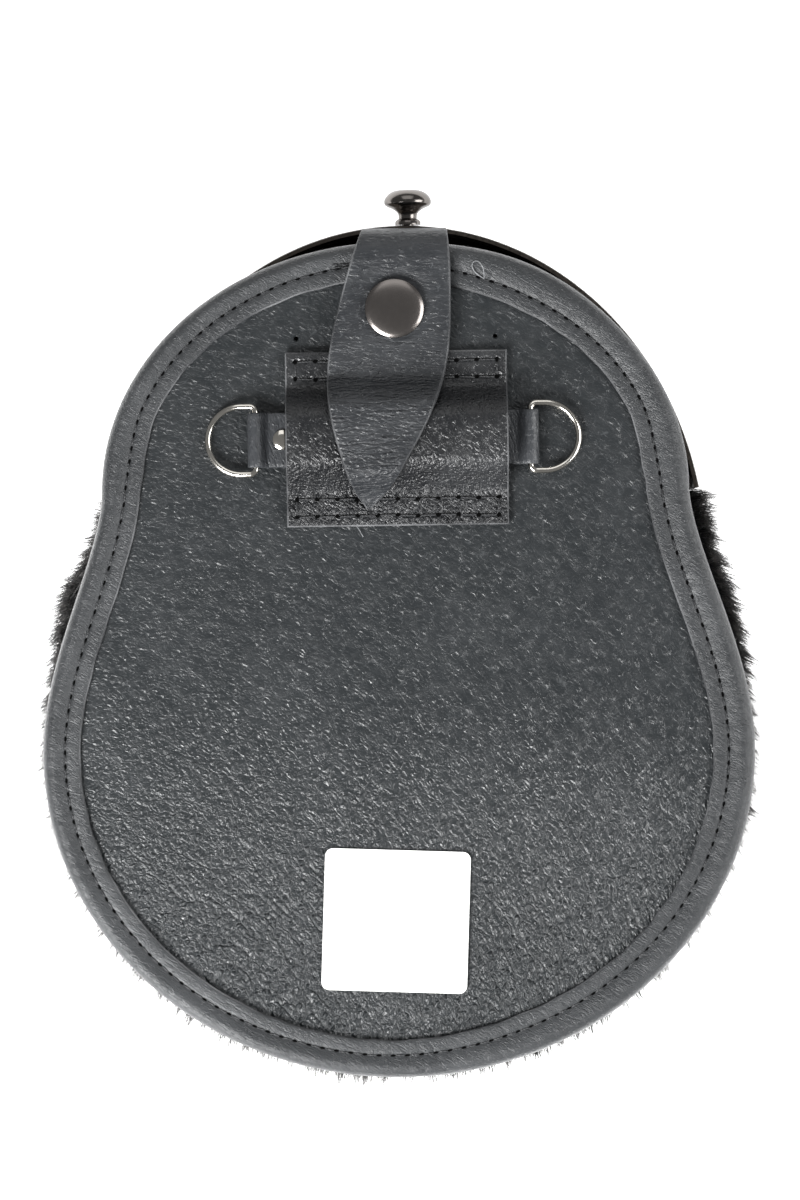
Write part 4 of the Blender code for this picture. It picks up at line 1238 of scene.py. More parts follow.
    def build_seam(self) -> None:
        """Threads of the seam, and dark pits between them that are the painted shadow of the needle holes."""
        points, inward, along = self.outline.walk(self.steps)
        total = along[-1] + along[1]
        at = np.arange(0.0, total - 0.5 * self.seam_step, self.seam_step)
        line = points + inward * self.seam_offset(points)[:, None]
        x = np.interp(at, along, line[:, 0], period=total)
        y = np.interp(at, along, line[:, 1], period=total)
        slits = np.stack([x, y, np.full(len(at), self.outline.depth + 0.86 * MM)], 1)
        add_seam("binding", slits, True, self.thread_radius, self.hole, self.finishes)

    def build_gusset(self) -> None:
        """Band folded inwards between the binding and the pelt's rim."""
        share = np.linspace(0.0, 1.0, 221)
        half = self.gusset_leather / 2.0
        top = self.outline.depth + self.crown - self.roll_depth - SEAT - half
        bottom = self.front.rim_depth + SEAT + half
        rim = self.front.setback + 1.5 * MM
        back, back_in = self.front.rail(share, True), self.front.rail_inward(share, True)
        pelt, pelt_in = self.front.rail(share), self.front.rail_inward(share)
        lead = self.roll_reach + SEAT
        path = [(back + back_in * lead, top), (back + back_in * (lead + self.gusset_flange), top)]
        inner = pelt + pelt_in * (rim + self.gusset_flange)
        fold = (path[1][0] + inner) / 2.0 + back_in * self.gusset_fold
        path += [(fold, (top + bottom) / 2.0), (inner, bottom), (pelt + pelt_in * rim, bottom)]
        rows = np.stack([np.concatenate([p, np.full((len(share), 1), z)], 1) for p, z in path])
        t = np.linspace(0.0, 4.0, 25)
        fine = np.stack([self.bend(rows, float(v)) for v in t])
        normal = unit(np.cross(np.gradient(fine, axis=0), np.gradient(fine, axis=1)))
        mesh = grid_wall(fine + normal * half, fine - normal * half)
        add_piece(
            "gusset_leather", mesh, self.finishes.gusset, replaced=["gusset"], sharp=70.0
        )

    @staticmethod
    def bend(rows: Array, at: float) -> Array:
        """Row between the given rows, with the corners between them rounded off."""
        i = min(len(rows) - 2, int(at))
        straight = rows[i] + (rows[i + 1] - rows[i]) * (at - i)
        corner = round(at)
        near = 1.0 - abs(at - corner) / 0.5
        if near <= 0.0 or corner in (0, len(rows) - 1):
            return straight
        chord = (rows[corner - 1] + rows[corner + 1]) / 2.0
        return straight + (chord - straight) * 0.12 * ease(near)


@dataclass
class StrapAndSnap:
    """Closing strap over the mouth, with its press stud."""

    outline: BackOutline
    front: FrontForm
    finishes: Finishes
    leather: float = 2.0 * MM
    half_width: float = 15.1 * MM
    length: float = 71.2 * MM
    middle_x: float = 3.3 * MM
    lean: float = 10.1 * MM
    below_cantle: float = 1.5 * MM
    inner_length: float = 8.2 * MM
    fold_radius: float = 5.5 * MM
    fold_lift: float = 0.8 * MM
    rim_top: float = 32.0 * MM
    lift: float = 2.4 * MM  # over the press stud's two discs
    snap_radius: float = 7.5 * MM
    snap_x: float = 0.4 * MM
    snap_below_top: float = 17.3 * MM
    loop_y_below_top: float = 50.1 * MM
    widths: Section = field(
        default=(
            (0.0, 0.71),
            (0.127, 0.84),
            (0.25, 0.925),
            (0.40, 1.0),
            (0.53, 0.985),
            (0.645, 0.88),
            (0.786, 0.64),
            (0.90, 0.385),
            (0.975, 0.14),
            (1.0, 0.045),
        )
    )

    def build(self) -> None:
        """Make the strap and the press stud."""
        self.build_strap()
        self.build_snap()

    @property
    def top_y(self) -> float:
        """Outside of the strap's fold."""
        return self.front.cantle_top_y - self.below_cantle

    def bump(self, y: Array) -> Array:
        """Share of the belt loop's rise under the strap."""
        outside = np.abs(y - self.outline.top_y + self.loop_y_below_top) - 7.5 * MM
        return ease(1.0 - outside / (9.0 * MM))

    def path(self) -> Array:
        """Rows of (y, z) of the strap's middle surface, from its inner end to its tip."""
        half = self.leather / 2.0
        top_y = self.top_y
        reach = self.half_width * 0.71 + abs(self.middle_x - self.front.cantle_shift)
        rise = self.front.cantle_rise - 1.5 * MM
        drop = rise * (1.0 - math.sqrt(1.0 - (reach / (self.front.cantle_half_width - 1.5 * MM)) ** 2))
        inner_y = self.front.cantle_top_y - 1.5 * MM - drop - SEAT - half
        base = self.outline.depth + self.lift + half
        z = np.linspace(self.rim_top - self.inner_length, self.rim_top + 0.1 * self.inner_length, 8)
        rows = [np.stack([np.full(8, inner_y), z], 1)]
        centre_y = top_y - half - self.fold_radius
        centre_z = base + self.fold_lift - self.fold_radius
        turn = np.radians(np.linspace(-10.0, 90.0, 21))
        fold = self.fold_radius * np.stack([np.cos(turn), np.sin(turn)], 1)
        rows.append(fold + np.array([centre_y, centre_z]))
        y = np.linspace(centre_y, top_y - self.length, 110)[1:]
        settle = self.fold_lift * (1.0 - ease((centre_y - y) / (8.0 * MM)))
        arch = self.bump(y) * (8.0 * MM + 1.8 * MM + SEAT - self.lift)
        rows.append(np.stack([y, base + settle + arch], 1))
        return np.concatenate(rows)

    def build_strap(self) -> None:
        """Pointed tongue with soft edges, a dish round the stud and creases below it."""
        path = self.path()
        top_y = self.top_y
        normal = -crossways(np.gradient(path, axis=0))
        down = np.clip(np.where(path[:, 1] > self.rim_top, (top_y - path[:, 0]) / self.length, 0.0), 0.0, 1.0)
        width = self.half_width * table_curve(self.widths, down)
        middle = self.middle_x - self.lean * down
        half = self.leather / 2.0
        shares = np.linspace(-1.0, 1.0, 29)
        rim = 0.45 * MM
        top = [(s, 1.0) for s in shares]
        rings = []
        stud = np.array([self.snap_x, self.outline.top_y - self.snap_below_top])
        for (y, z), (ny, nz), w, m in zip(path, normal, width, middle):
            ring = []
            flat = max(w - rim, 0.15 * MM)
            for s, _ in top:
                x = m + s * flat
                away = math.hypot(x - stud[0], y - stud[1])
                dish = -0.35 * MM * float(bell((away - self.snap_radius) / (4.5 * MM)))
                crease = 0.16 * MM * math.sin((away - self.snap_radius) / (0.55 * MM)) * float(
                    bell((away - self.snap_radius - 2.6 * MM) / (3.0 * MM))
                ) * float(ease((x - stud[0]) / (6 * MM))) * float(ease((stud[1] + 2 * MM - y) / (6 * MM)))
                height = half + (dish + crease if nz > 0.7 else 0.0)
                ring.append((x, y + ny * height, z + nz * height))
            for a in (60.0, 30.0, 0.0, -30.0, -60.0):
                c, s = math.cos(math.radians(a)), math.sin(math.radians(a))
                ring.append((m + flat + rim * c, y + ny * half * s, z + nz * half * s))
            for s, _ in reversed(top[::4]):
                ring.append((m + s * flat, y - ny * half, z - nz * half))
            for a in (-60.0, -30.0, 0.0, 30.0, 60.0):
                c, s = math.cos(math.radians(a)), math.sin(math.radians(a))
                ring.append((m - flat - rim * c, y + ny * half * s, z + nz * half * s))
            rings.append(ring)
        mesh = loft(np.array(rings))
        mark_faces(mesh, len(rings[0]), (*range(28, 33), *range(42, 47)))
        add_piece(
            "strap_leather",
            mesh,
            self.finishes.strap,
            replaced=["closing_strap"],
            sharp=60.0,
            cut=self.finishes.cut,
        )

    def build_snap(self) -> None:
        """Domed cap with a rolled rim, its socket, and the stud on the panel."""
        seat = self.lift + self.leather + SEAT
        r = self.snap_radius
        profile = [(0.0, seat + 1.8 * MM)]
        for degrees in (10.0, 20.0, 30.0, 40.0, 50.0, 58.0, 64.0):
            turn = math.radians(degrees)
            profile.append((r * math.sin(turn), seat + 1.8 * MM * (0.35 + 0.65 * math.cos(turn))))
        profile += [
            (r * 0.955, seat + 0.92 * MM),
            (r * 0.985, seat + 0.78 * MM),
            (r, seat + 0.5 * MM),
            (r * 0.99, seat + 0.2 * MM),
            (r * 0.95, seat),
            (1.6 * MM, seat),
            (1.6 * MM, self.lift - SEAT),
            (5.5 * MM, self.lift - SEAT),
            (5.5 * MM, self.lift - SEAT - 0.8 * MM),
            (0.0, self.lift - SEAT - 0.8 * MM),
        ]
        place = Vector((self.snap_x, self.outline.top_y - self.snap_below_top, self.outline.depth))
        add_piece(
            "snap_dome",
            turned(profile, 64, place),
            self.finishes.snap,
            replaced=["snap_cap"],
            sharp=35.0,
        )
        stud = ((0.0, 1.0 * MM), (5.2 * MM, 1.0 * MM), (5.5 * MM, 0.8 * MM), (5.5 * MM, SEAT), (0.0, SEAT))
        add_piece(
            "snap_base",
            turned(stud, 40, place),
            self.finishes.snap,
            replaced=["snap_stud"],
        )


@dataclass
class BeltLoop:
    """Arched strip of grained leather with two rows of stitches above and below."""

    outline: BackOutline
    finishes: Finishes
    width: float = 56.4 * MM
    height: float = 44.4 * MM
    span: float = 28.0 * MM
    flat: float = 5.0 * MM
    rise: float = 8.0 * MM
    leather: float = 1.8 * MM
    middle_x: float = 0.6 * MM
    below_top: float = 50.1 * MM
    rows_from_edge: tuple[float, float] = (2.6 * MM, 6.9 * MM)
    pitch: float = 5.0 * MM
    side_inset: float = 2.6 * MM
    thread_radius: float = 0.24 * MM
    hole: tuple[float, float] = (0.62 * MM, 0.46 * MM)

    @property
    def y(self) -> float:
        """Middle height of the loop."""
        return self.outline.top_y - self.below_top

    def lift(self, y: Array | float) -> Array:
        """Height of the loop's middle surface above the panel."""
        outside = np.abs(y - self.y) - self.flat
        arch = ease(1.0 - outside / (self.span / 2.0 - self.flat))
        return SEAT + self.leather / 2.0 + arch * (self.rise - SEAT)

    def build(self) -> None:
        """Make the loop and its stitches."""
        self.build_strip()
        self.build_stitches()

    def build_strip(self) -> None:
        """Strip with eased edges, pulled down a little along each row of stitches."""
        y = self.y + np.linspace(0.5, -0.5, 121) * self.height
        z = self.outline.depth + self.lift(y)
        path = np.stack([y, z], 1)
        normal = -crossways(np.gradient(path, axis=0))
        half = self.leather / 2.0
        rim = 0.4 * MM
        shares = np.linspace(-1.0, 1.0, 73)
        flat = self.width / 2.0 - rim
        rings = []
        for k, ((py, pz), (ny, nz)) in enumerate(zip(path, normal)):
            ends = min(k, len(path) - 1 - k)
            soft = half * (0.55, 0.85, 1.0)[min(ends, 2)]
            x = self.middle_x + shares * flat
            from_edge = self.height / 2.0 - abs(py - self.y)
            top = np.full_like(x, soft)
            for row in self.rows_from_edge:
                groove = float(bell((from_edge - row) / (0.9 * MM)))
                top = top - groove * 0.22 * MM * (np.abs(x - self.middle_x) < self.width / 2.0 - 1.6 * MM)
            ring = [(px, py + ny * t, pz + nz * t) for px, t in zip(x, top)]
            for sign, angles in ((1.0, (55.0, 20.0, -20.0, -55.0)), (-1.0, (-55.0, -20.0, 20.0, 55.0))):
                if sign < 0:
                    ring += [(px, py - ny * soft, pz - nz * soft) for px in reversed(x[::6])]
                for a in angles:
                    c, s = math.cos(math.radians(a)), math.sin(math.radians(a))
                    ring.append((self.middle_x + sign * (flat + rim * c), py + ny * soft * s, pz + nz * soft * s))
            rings.append(ring)
        mesh = loft(np.array(rings))
        mark_faces(mesh, len(rings[0]), (*range(72, 77), *range(89, 94)), (0, len(rings) - 2))
        add_piece(
            "belt_loop_leather",
            mesh,
            self.finishes.loop,
            replaced=["belt_loop"],
            sharp=60.0,
            cut=self.finishes.cut,
        )

    def build_stitches(self) -> None:
        """Two seams that box in the loop's ends: out along one row, across, and back along the other."""
        half = self.width / 2.0 - self.side_inset
        count = round(2.0 * half / self.pitch)
        xs = self.middle_x + np.linspace(-half, half, count + 1)
        z = self.outline.depth + SEAT + self.leather - 0.17 * MM
        draw = np.random.default_rng(21)
        for end, name in ((1.0, "upper"), (-1.0, "lower")):
            rows = []
            for row in self.rows_from_edge:
                y = self.y + end * (self.height / 2.0 - row) + draw.normal(0.0, 0.12 * MM, len(xs))
                rows.append(np.stack([xs, y, np.full(len(xs), z)], 1))
            slits = np.concatenate([rows[0], rows[1][::-1]])
            add_seam(f"belt_loop_{name}", slits, True, self.thread_radius, self.hole, self.finishes)


@dataclass
class RingAndTab:
    """D-ring in its folded leather tab, with the tab's rivet."""

    side: Side
    loop: BeltLoop
    finishes: Finishes
    reach: float
    rivet_from_end: float
    wire: float = 0.8 * MM
    height: float = 18.8 * MM
    length: float = 13.1 * MM
    corner: float = 1.6 * MM
    leather: float = 1.0 * MM
    tab_height: float = 14.0 * MM
    under_loop: float = 12.0 * MM
    pinch: float = 3.4 * MM
    rivet_radius: float = 2.5 * MM

    @property
    def floor(self) -> float:
        """Outer face of the panel."""
        return self.loop.outline.depth

    @property
    def end_x(self) -> float:
        """X of the tab's outer end."""
        return self.loop.middle_x + self.side.value * (self.loop.width / 2.0 + self.reach)

    @property
    def bar_x(self) -> float:
        """X of the ring's straight bar."""
        return self.end_x - self.side.value * (self.leather + SEAT + self.wire)

    @property
    def bar_z(self) -> float:
        """Z of the ring's straight bar."""
        return self.floor + SEAT + self.leather + SEAT + self.wire

    def build(self) -> None:
        """Make the tab, the ring and the rivet."""
        self.build_tab()
        self.build_ring()
        self.build_rivet()

    def path(self) -> Array:
        """Rows of (x, z) of the tab: in under the bar, round it and back on top."""
        sign = self.side.value
        half = self.leather / 2.0
        low = self.floor + SEAT + half
        high = low + self.leather + SEAT
        bend = self.wire + SEAT + half
        inner = self.loop.middle_x + sign * (self.loop.width / 2.0 - self.under_loop)
        x = np.linspace(inner, self.bar_x, 24, endpoint=False)
        under = np.stack([x, np.full(24, low)], 1)
        turn = np.radians(np.linspace(-90.0, 90.0, 21))
        fold = np.stack([self.bar_x + sign * bend * np.cos(turn), self.bar_z + bend * np.sin(turn)], 1)
        back = np.linspace(0.0, 1.0, 15)[1:]
        down = np.stack([self.bar_x - sign * self.pinch * back, mix(self.bar_z + bend, high, ease(back))], 1)
        x = np.linspace(self.bar_x - sign * self.pinch, inner + sign * SEAT, 18)[1:]
        return np.concatenate([under, fold, down, np.stack([x, np.full(17, high)], 1)])

    def build_tab(self) -> None:
        """Folded tab with eased edges."""
        path = self.path()
        normal = crossways(np.gradient(path, axis=0))
        half = self.leather / 2.0
        rim = 0.3 * MM
        flat = self.tab_height / 2.0 - rim
        shares = np.linspace(-1.0, 1.0, 15)
        rings = []
        for k, ((x, z), (nx, nz)) in enumerate(zip(path, normal)):
            ring = []
            sway = 0.08 * MM * float(ripple(k * 0.6 * MM, 6 * MM, 31))
            edge = flat + sway
            for s in shares:
                ring.append((x + nx * half, self.loop.y + s * edge, z + nz * half))
            for a in (50.0, 0.0, -50.0):
                c, s = math.cos(math.radians(a)), math.sin(math.radians(a))
                ring.append((x + nx * half * s, self.loop.y + edge + rim * c, z + nz * half * s))
            for s in shares[::-1]:
                ring.append((x - nx * half, self.loop.y + s * edge, z - nz * half))
            for a in (-50.0, 0.0, 50.0):
                c, s = math.cos(math.radians(a)), math.sin(math.radians(a))
                ring.append((x + nx * half * s, self.loop.y - edge - rim * c, z + nz * half * s))
            rings.append(ring)
        name = f"tab_{self.side.word}_leather"
        node = f"d_ring_tab_{self.side.word}"
        add_piece(name, loft(np.array(rings)), self.finishes.tab, replaced=[node], sharp=60.0)

    def build_ring(self) -> None:
        """Wire D-ring that rests on the panel at its far end."""
        half = self.height / 2.0 - self.wire
        length = self.length - self.wire
        c = self.corner
        points = []
        for turn in np.radians(np.linspace(180.0, 270.0, 9)):
            points.append((c + c * math.cos(turn), -(half - c) + c * math.sin(turn)))
        for turn in np.radians(np.linspace(-90.0, 90.0, 49)):
            points.append((length - half + half * math.cos(turn), half * math.sin(turn)))
        for turn in np.radians(np.linspace(90.0, 180.0, 9)):
            points.append((c + c * math.cos(turn), half - c + c * math.sin(turn)))
        for y in np.linspace(half - c, -(half - c), 14)[1:-1]:
            points.append((0.0, float(y)))
        flat = np.array(points)
        out = -crossways(np.roll(flat, -1, 0) - np.roll(flat, 1, 0))
        tilt = -math.asin((self.bar_z - self.floor - SEAT - self.wire) / length)
        rings = []
        for (x, y), (ox, oy) in zip(flat, out):
            ring = []
            for turn in np.linspace(0.0, 2.0 * math.pi, 12, endpoint=False):
                wx, wy = x + ox * self.wire * math.cos(turn), y + oy * self.wire * math.cos(turn)
                wz = self.wire * math.sin(turn)
                along = wx * math.cos(tilt) - wz * math.sin(tilt)
                up = wx * math.sin(tilt) + wz * math.cos(tilt)
                ring.append((self.bar_x + self.side.value * along, self.loop.y + wy, self.bar_z + up))
            rings.append(ring)
        body = Body.RING_LEFT if self.side is Side.LEFT else Body.RING_RIGHT
        add_piece(
            f"ring_{self.side.word}_wire",
            loft(np.array(rings), closed=True),
            self.finishes.nickel,
            body=body,
            replaced=[f"d_ring_{self.side.word}"],
        )

    def build_rivet(self) -> None:
        """Domed rivet through the tab, with a plain burr inside the pouch."""
        seat = 2.0 * (self.leather + SEAT) + SEAT
        burr = -2.0 * MM - SEAT
        r = self.rivet_radius
        profile = [(0.0, seat + 0.7 * MM), (0.35 * r, seat + 0.67 * MM), (0.65 * r, seat + 0.56 * MM)]
        profile += [(0.88 * r, seat + 0.36 * MM), (r, seat + 0.15 * MM), (r, seat)]
        profile += [(0.9 * MM, seat), (0.9 * MM, burr), (0.8 * r, burr), (0.8 * r, burr - 0.7 * MM)]
        profile.append((0.0, burr - 0.7 * MM))
        place = Vector((self.end_x - self.side.value * self.rivet_from_end, self.loop.y, self.floor))
        add_piece(
            f"rivet_{self.side.word}",
            turned(profile, 32, place),
            self.finishes.nickel,
            replaced=[f"tab_rivet_{self.side.word}"],
        )


@dataclass
class CantleAndKnob:
    """Metal arch over the top of the front, with its knob."""

    front: FrontForm
    finishes: Finishes
    rim_top: float = 32.0 * MM
    metal: float = 1.5 * MM
    sag: float = 14.0 * MM
    end_inset: float = 7.0 * MM
    plate_part: float = 0.8
    knob_cap: float = 6.1 * MM
    knob_height: float = 9.0 * MM
    neck: float = 2.35 * MM
    base: float = 3.3 * MM
    knob_x: float = 4.2 * MM
    knob_below_rim: float = 4.1 * MM

    def build(self) -> None:
        """Make the cantle and the knob."""
        self.build_cantle()
        self.build_knob()

    def point(self, across: Array, along: Array) -> Array:
        """Outer face of the cantle, from its lower edge (0) to the rim's edge (1)."""
        front = self.front
        share = 2.0 * across - 1.0
        corner = math.asin((front.back.arch_y - front.cantle_y) / front.cantle_rise)
        turn = math.pi / 2.0 - share * (math.pi / 2.0 - corner)
        rim_x = front.cantle_shift + front.cantle_half_width * np.cos(turn)
        rim_y = front.cantle_y + front.cantle_rise * np.sin(turn)
        corner_x = front.cantle_half_width * math.cos(corner) - self.end_inset
        reach = np.sin(np.clip(along / self.plate_part, 0.0, 1.0) * math.pi / 2.0)
        x = mix(front.cantle_shift + corner_x * share, rim_x, reach)
        y = mix(front.back.arch_y - self.sag * (1.0 - share * share), rim_y, reach)
        z = front.depth(x, y)
        up = np.clip((along - self.plate_part) / (1.0 - self.plate_part), 0.0, 1.0)
        z = np.where(along >= self.plate_part, mix(front.rim_depth, self.rim_top, up), z)
        return np.stack([x, y, z], -1)

    def build_cantle(self) -> None:
        """Plain polished plate with a turned-up rim whose edge is eased."""
        across = np.linspace(0.0, 1.0, 161)
        along = np.concatenate([np.linspace(0.0, self.plate_part, 49), np.linspace(self.plate_part, 1.0, 9)[1:]])
        a, b = np.meshgrid(across, along)
        outer = self.point(a, b)
        side = np.gradient(outer, axis=1)
        up = np.gradient(outer, axis=0)
        normal = np.cross(side, up)
        normal = unit(normal)
        away = outer - np.array([0.0, 0.0, self.front.rim_depth + 8 * MM])
        wrong = (normal * away).sum(-1, keepdims=True) < 0.0
        normal = np.where(wrong, -normal, normal)
        inner = outer - normal * self.metal
        ease_top = ease((b - 0.97) / 0.03) * 0.25 * MM
        outer = outer - normal * ease_top[..., None]
        inner = inner + normal * ease_top[..., None]
        add_piece(
            "cantle_plate", grid_wall(outer, inner), self.finishes.cantle, replaced=["cantle"]
        )

    def build_knob(self) -> None:
        """Mushroom knob with its post through the rim and a washer inside."""
        rows = [(0.0, 0.0), (0.015, 0.22), (0.035, 0.38), (0.07, 0.56), (0.12, 0.72), (0.18, 0.85), (0.24, 0.94)]
        rows += [(0.29, 0.985), (0.34, 1.0), (0.39, 0.985), (0.43, 0.93), (0.455, 0.86), (0.48, 0.76)]
        rows += [(0.52, 0.52), (0.56, 0.34), (0.62, 0.14), (0.68, 0.03), (0.75, 0.0), (0.82, 0.0)]
        profile = []
        for down, out in rows:
            radius = mix(self.neck, self.knob_cap, out) if down else 0.0
            profile.append((radius, SEAT + self.knob_height * (1.0 - down)))
        for down, out in ((0.85, 0.5), (0.88, 0.85), (0.92, 1.0), (1.0, 1.0)):
            profile.append((mix(self.neck, self.base, out), SEAT + self.knob_height * (1.0 - down)))
        inner = -4.62 * MM
        profile += [(1.5 * MM, SEAT), (1.5 * MM, inner), (3.4 * MM, inner), (3.4 * MM, inner - 1.0 * MM)]
        profile.append((0.0, inner - 1.0 * MM))
        place = Vector((self.knob_x, self.front.cantle_top_y, self.rim_top - self.knob_below_rim))
        spin = Matrix.Rotation(math.radians(-90.0), 3, "X")
        add_piece(
            "knob_turned",
            turned(profile, 48, place, spin),
            self.finishes.knob,
            replaced=["cantle_knob"],
            sharp=50.0,
        )


@dataclass
class FurFront:
    """Pelt with its hair: tufts that fan out from the cantle and stand out past the edge."""

    front: FrontForm
    finishes: Finishes
    thickness: float = 3.0 * MM
    hair_length: float = 11.0 * MM
    dome_radius: float = 0.1 * MM
    rim_radius: float = 0.05 * MM
    tuft_spread: float = 1.0 * MM
    dome_tufts: int = 4800
    rim_tufts: int = 2400
    hairs_per_dome_tuft: int = 9
    hairs_per_rim_tuft: int = 14
    # (share round the rim from the left end, how far the hair stands out past the binding)
    reach: Section = field(
        default=(
            (0.0, 4.6 * MM),
            (0.05, 5.8 * MM),
            (0.12, 5.0 * MM),
            (0.18, 2.4 * MM),
            (0.25, 1.2 * MM),
            (0.33, 2.0 * MM),
            (0.42, 1.4 * MM),
            (0.5, 0.4 * MM),
            (0.58, 1.0 * MM),
            (0.67, 2.6 * MM),
            (0.77, 2.6 * MM),
            (0.84, 3.8 * MM),
            (0.91, 4.8 * MM),
            (0.96, 3.6 * MM),
            (1.0, 2.0 * MM),
        )
    )

    def build(self) -> None:
        """Make the pelt and its hair."""
        self.build_pelt()
        self.build_dome_hair()
        self.build_rim_hair()

    def build_pelt(self) -> None:
        """Closed shell of skin and underfur."""
        a, b = np.meshgrid(np.linspace(0.0, 1.0, 161), np.linspace(0.0, 1.0, 61))
        here, normal, _ = self.front.pelt_frame(a, b)
        outer = here - normal * self.front.setback
        inner = here - normal * (self.front.setback + self.thickness)
        for grid in (outer, inner):
            grid[..., 1] = np.minimum(grid[..., 1], self.front.top_y)
            grid[..., 2] = np.clip(grid[..., 2], 0.2 * MM, self.front.rim_depth)
        add_piece(
            "pelt_skin", grid_wall(outer, inner), self.finishes.pelt, replaced=["fur_front"], sharp=80.0
        )

    @staticmethod
    def hair_mesh(roots: Array, middles: Array, tips: Array, radius: Array) -> bpy.types.Mesh:
        """Tapered three-sided hairs.

        Args:
            roots: Hairs x 3.
            middles: Where each hair bends.
            tips: Where each hair ends.
            radius: Radius of each hair at its root.

        Returns:
            One mesh of all the hairs.
        """
        for place in (middles, tips):
            place[:, 2] = np.maximum(place[:, 2], 0.3 * MM)
        ahead = tips - middles
        ahead = unit(ahead)
        side = np.cross(ahead, (0.0, 0.0, 1.0))
        side = unit(side)
        up = np.cross(side, ahead)
        vertices = np.zeros((len(roots), 7, 3))
        for k in range(3):
            turn = 2.0 * math.pi * k / 3.0
            spread = (side * math.cos(turn) + up * math.sin(turn)) * radius[:, None]
            vertices[:, k] = roots + spread
            vertices[:, 3 + k] = middles + spread * 0.8
        vertices[:, 6] = tips
        first = np.arange(len(roots))[:, None] * 7
        quads = np.concatenate([first + np.array([k, (k + 1) % 3, 3 + (k + 1) % 3, 3 + k]) for k in range(3)])
        ends = np.concatenate([first + np.array([3 + k, 3 + (k + 1) % 3, 6]) for k in range(3)])
        mesh = bpy.data.meshes.new("hair")
        mesh.from_pydata(vertices.reshape(-1, 3).tolist(), [], quads.tolist() + ends.tolist())
        return mesh

    def build_dome_hair(self) -> None:
        """Hair all over the dome, in four sectors."""
        draw = np.random.default_rng(41)
        per = self.hairs_per_dome_tuft
        count = int(self.dome_tufts * 1.0 / 4)
        for sector in range(4):
            across = draw.uniform(sector / 4.0, (sector + 1) / 4.0, count)
            along = np.sqrt(draw.uniform(0.0, 1.0, count)) * 0.97
            here, normal, flow = self.front.pelt_frame(across, along)
            guide = flow + normal * draw.uniform(0.06, 0.3, (count, 1)) + draw.normal(0.0, 0.12, (count, 3))
            roots = np.repeat(here - normal * (self.front.setback + 0.4 * MM), per, 0)
            scatter = draw.normal(0.0, self.tuft_spread, (count * per, 3))
            normals = np.repeat(normal, per, 0)
            scatter -= normals * (scatter * normals).sum(1, keepdims=True)
            roots = roots + scatter
            ways = np.repeat(guide, per, 0) - scatter / self.hair_length * 0.6
            ways = unit(ways)
            lifts = ways + normals * 0.35
            lifts = unit(lifts)
            lengths = np.repeat(draw.uniform(0.7, 1.1, count), per) * draw.uniform(0.75, 1.1, count * per)
            lengths = (lengths * self.hair_length)[:, None]
            middles = roots + lifts * lengths * 0.45
            radius = self.dome_radius * draw.uniform(0.7, 1.3, count * per)
            mesh = self.hair_mesh(roots, middles, middles + ways * lengths * 0.55, radius)
            add_piece(f"fur_dome_{sector + 1}", mesh, self.finishes.hair, sharp=180.0)

    def build_rim_hair(self) -> None:
        """Hair at the rim, in two halves: it stands out past the binding and sweeps down."""
        draw = np.random.default_rng(43)
        per = self.hairs_per_rim_tuft
        count = int(self.rim_tufts * 1.0 / 2)
        for side in Side:
            across = draw.uniform(0.0, 0.5, count) + (0.5 if side is Side.RIGHT else 0.0)
            along = draw.uniform(0.88, 1.0, count)
            here, normal, _ = self.front.pelt_frame(across, along)
            inward = self.front.rail_inward(across)
            edge = self.front.rail(across, True)
            flat = np.zeros((count, 1))
            out = np.concatenate([-inward, flat], 1)
            down = np.concatenate([flat + 0.12, flat - 1.0, flat], 1)
            gap = ((edge - here[:, :2]) * -inward).sum(1)
            stand = table_curve(self.reach, across) * draw.uniform(0.0, 1.0, count) ** 1.3 * 1.25
            way = out * draw.uniform(0.6, 0.95, (count, 1)) + down * draw.uniform(0.7, 1.0, (count, 1))
            way += draw.normal(0.0, 0.12, (count, 3)) * (1.0, 1.0, 0.6)
            way = unit(way)
            facing = np.maximum((way * out).sum(1), 0.45)
            length = np.clip((gap + stand) / facing, 2.0 * MM, 15.0 * MM)
            roots = np.repeat(here - normal * (self.front.setback + 0.3 * MM), per, 0)
            scatter = draw.normal(0.0, self.tuft_spread, (count * per, 3))
            roots = roots + scatter
            roots[:, 2] = np.minimum(roots[:, 2], self.front.rim_depth - 0.2 * MM)
            share = draw.uniform(0.35, 1.0, (count * per, 1))
            ways = np.repeat(way * length[:, None], per, 0) * share
            stray = draw.normal(0.0, 0.55 * MM, (count * per, 3))
            tips = roots + ways - scatter * 0.25 + stray
            middles = roots + ways * 0.5 + np.repeat(out, per, 0) * 0.6 * MM - scatter * 0.2
            radius = self.rim_radius * draw.uniform(0.6, 1.3, count * per)
            mesh = self.hair_mesh(roots, middles, tips, radius)
            # these hairs carry the finish with painted rim light
            add_piece(f"fur_rim_{side.word}", mesh, self.finishes.wisps, sharp=180.0)


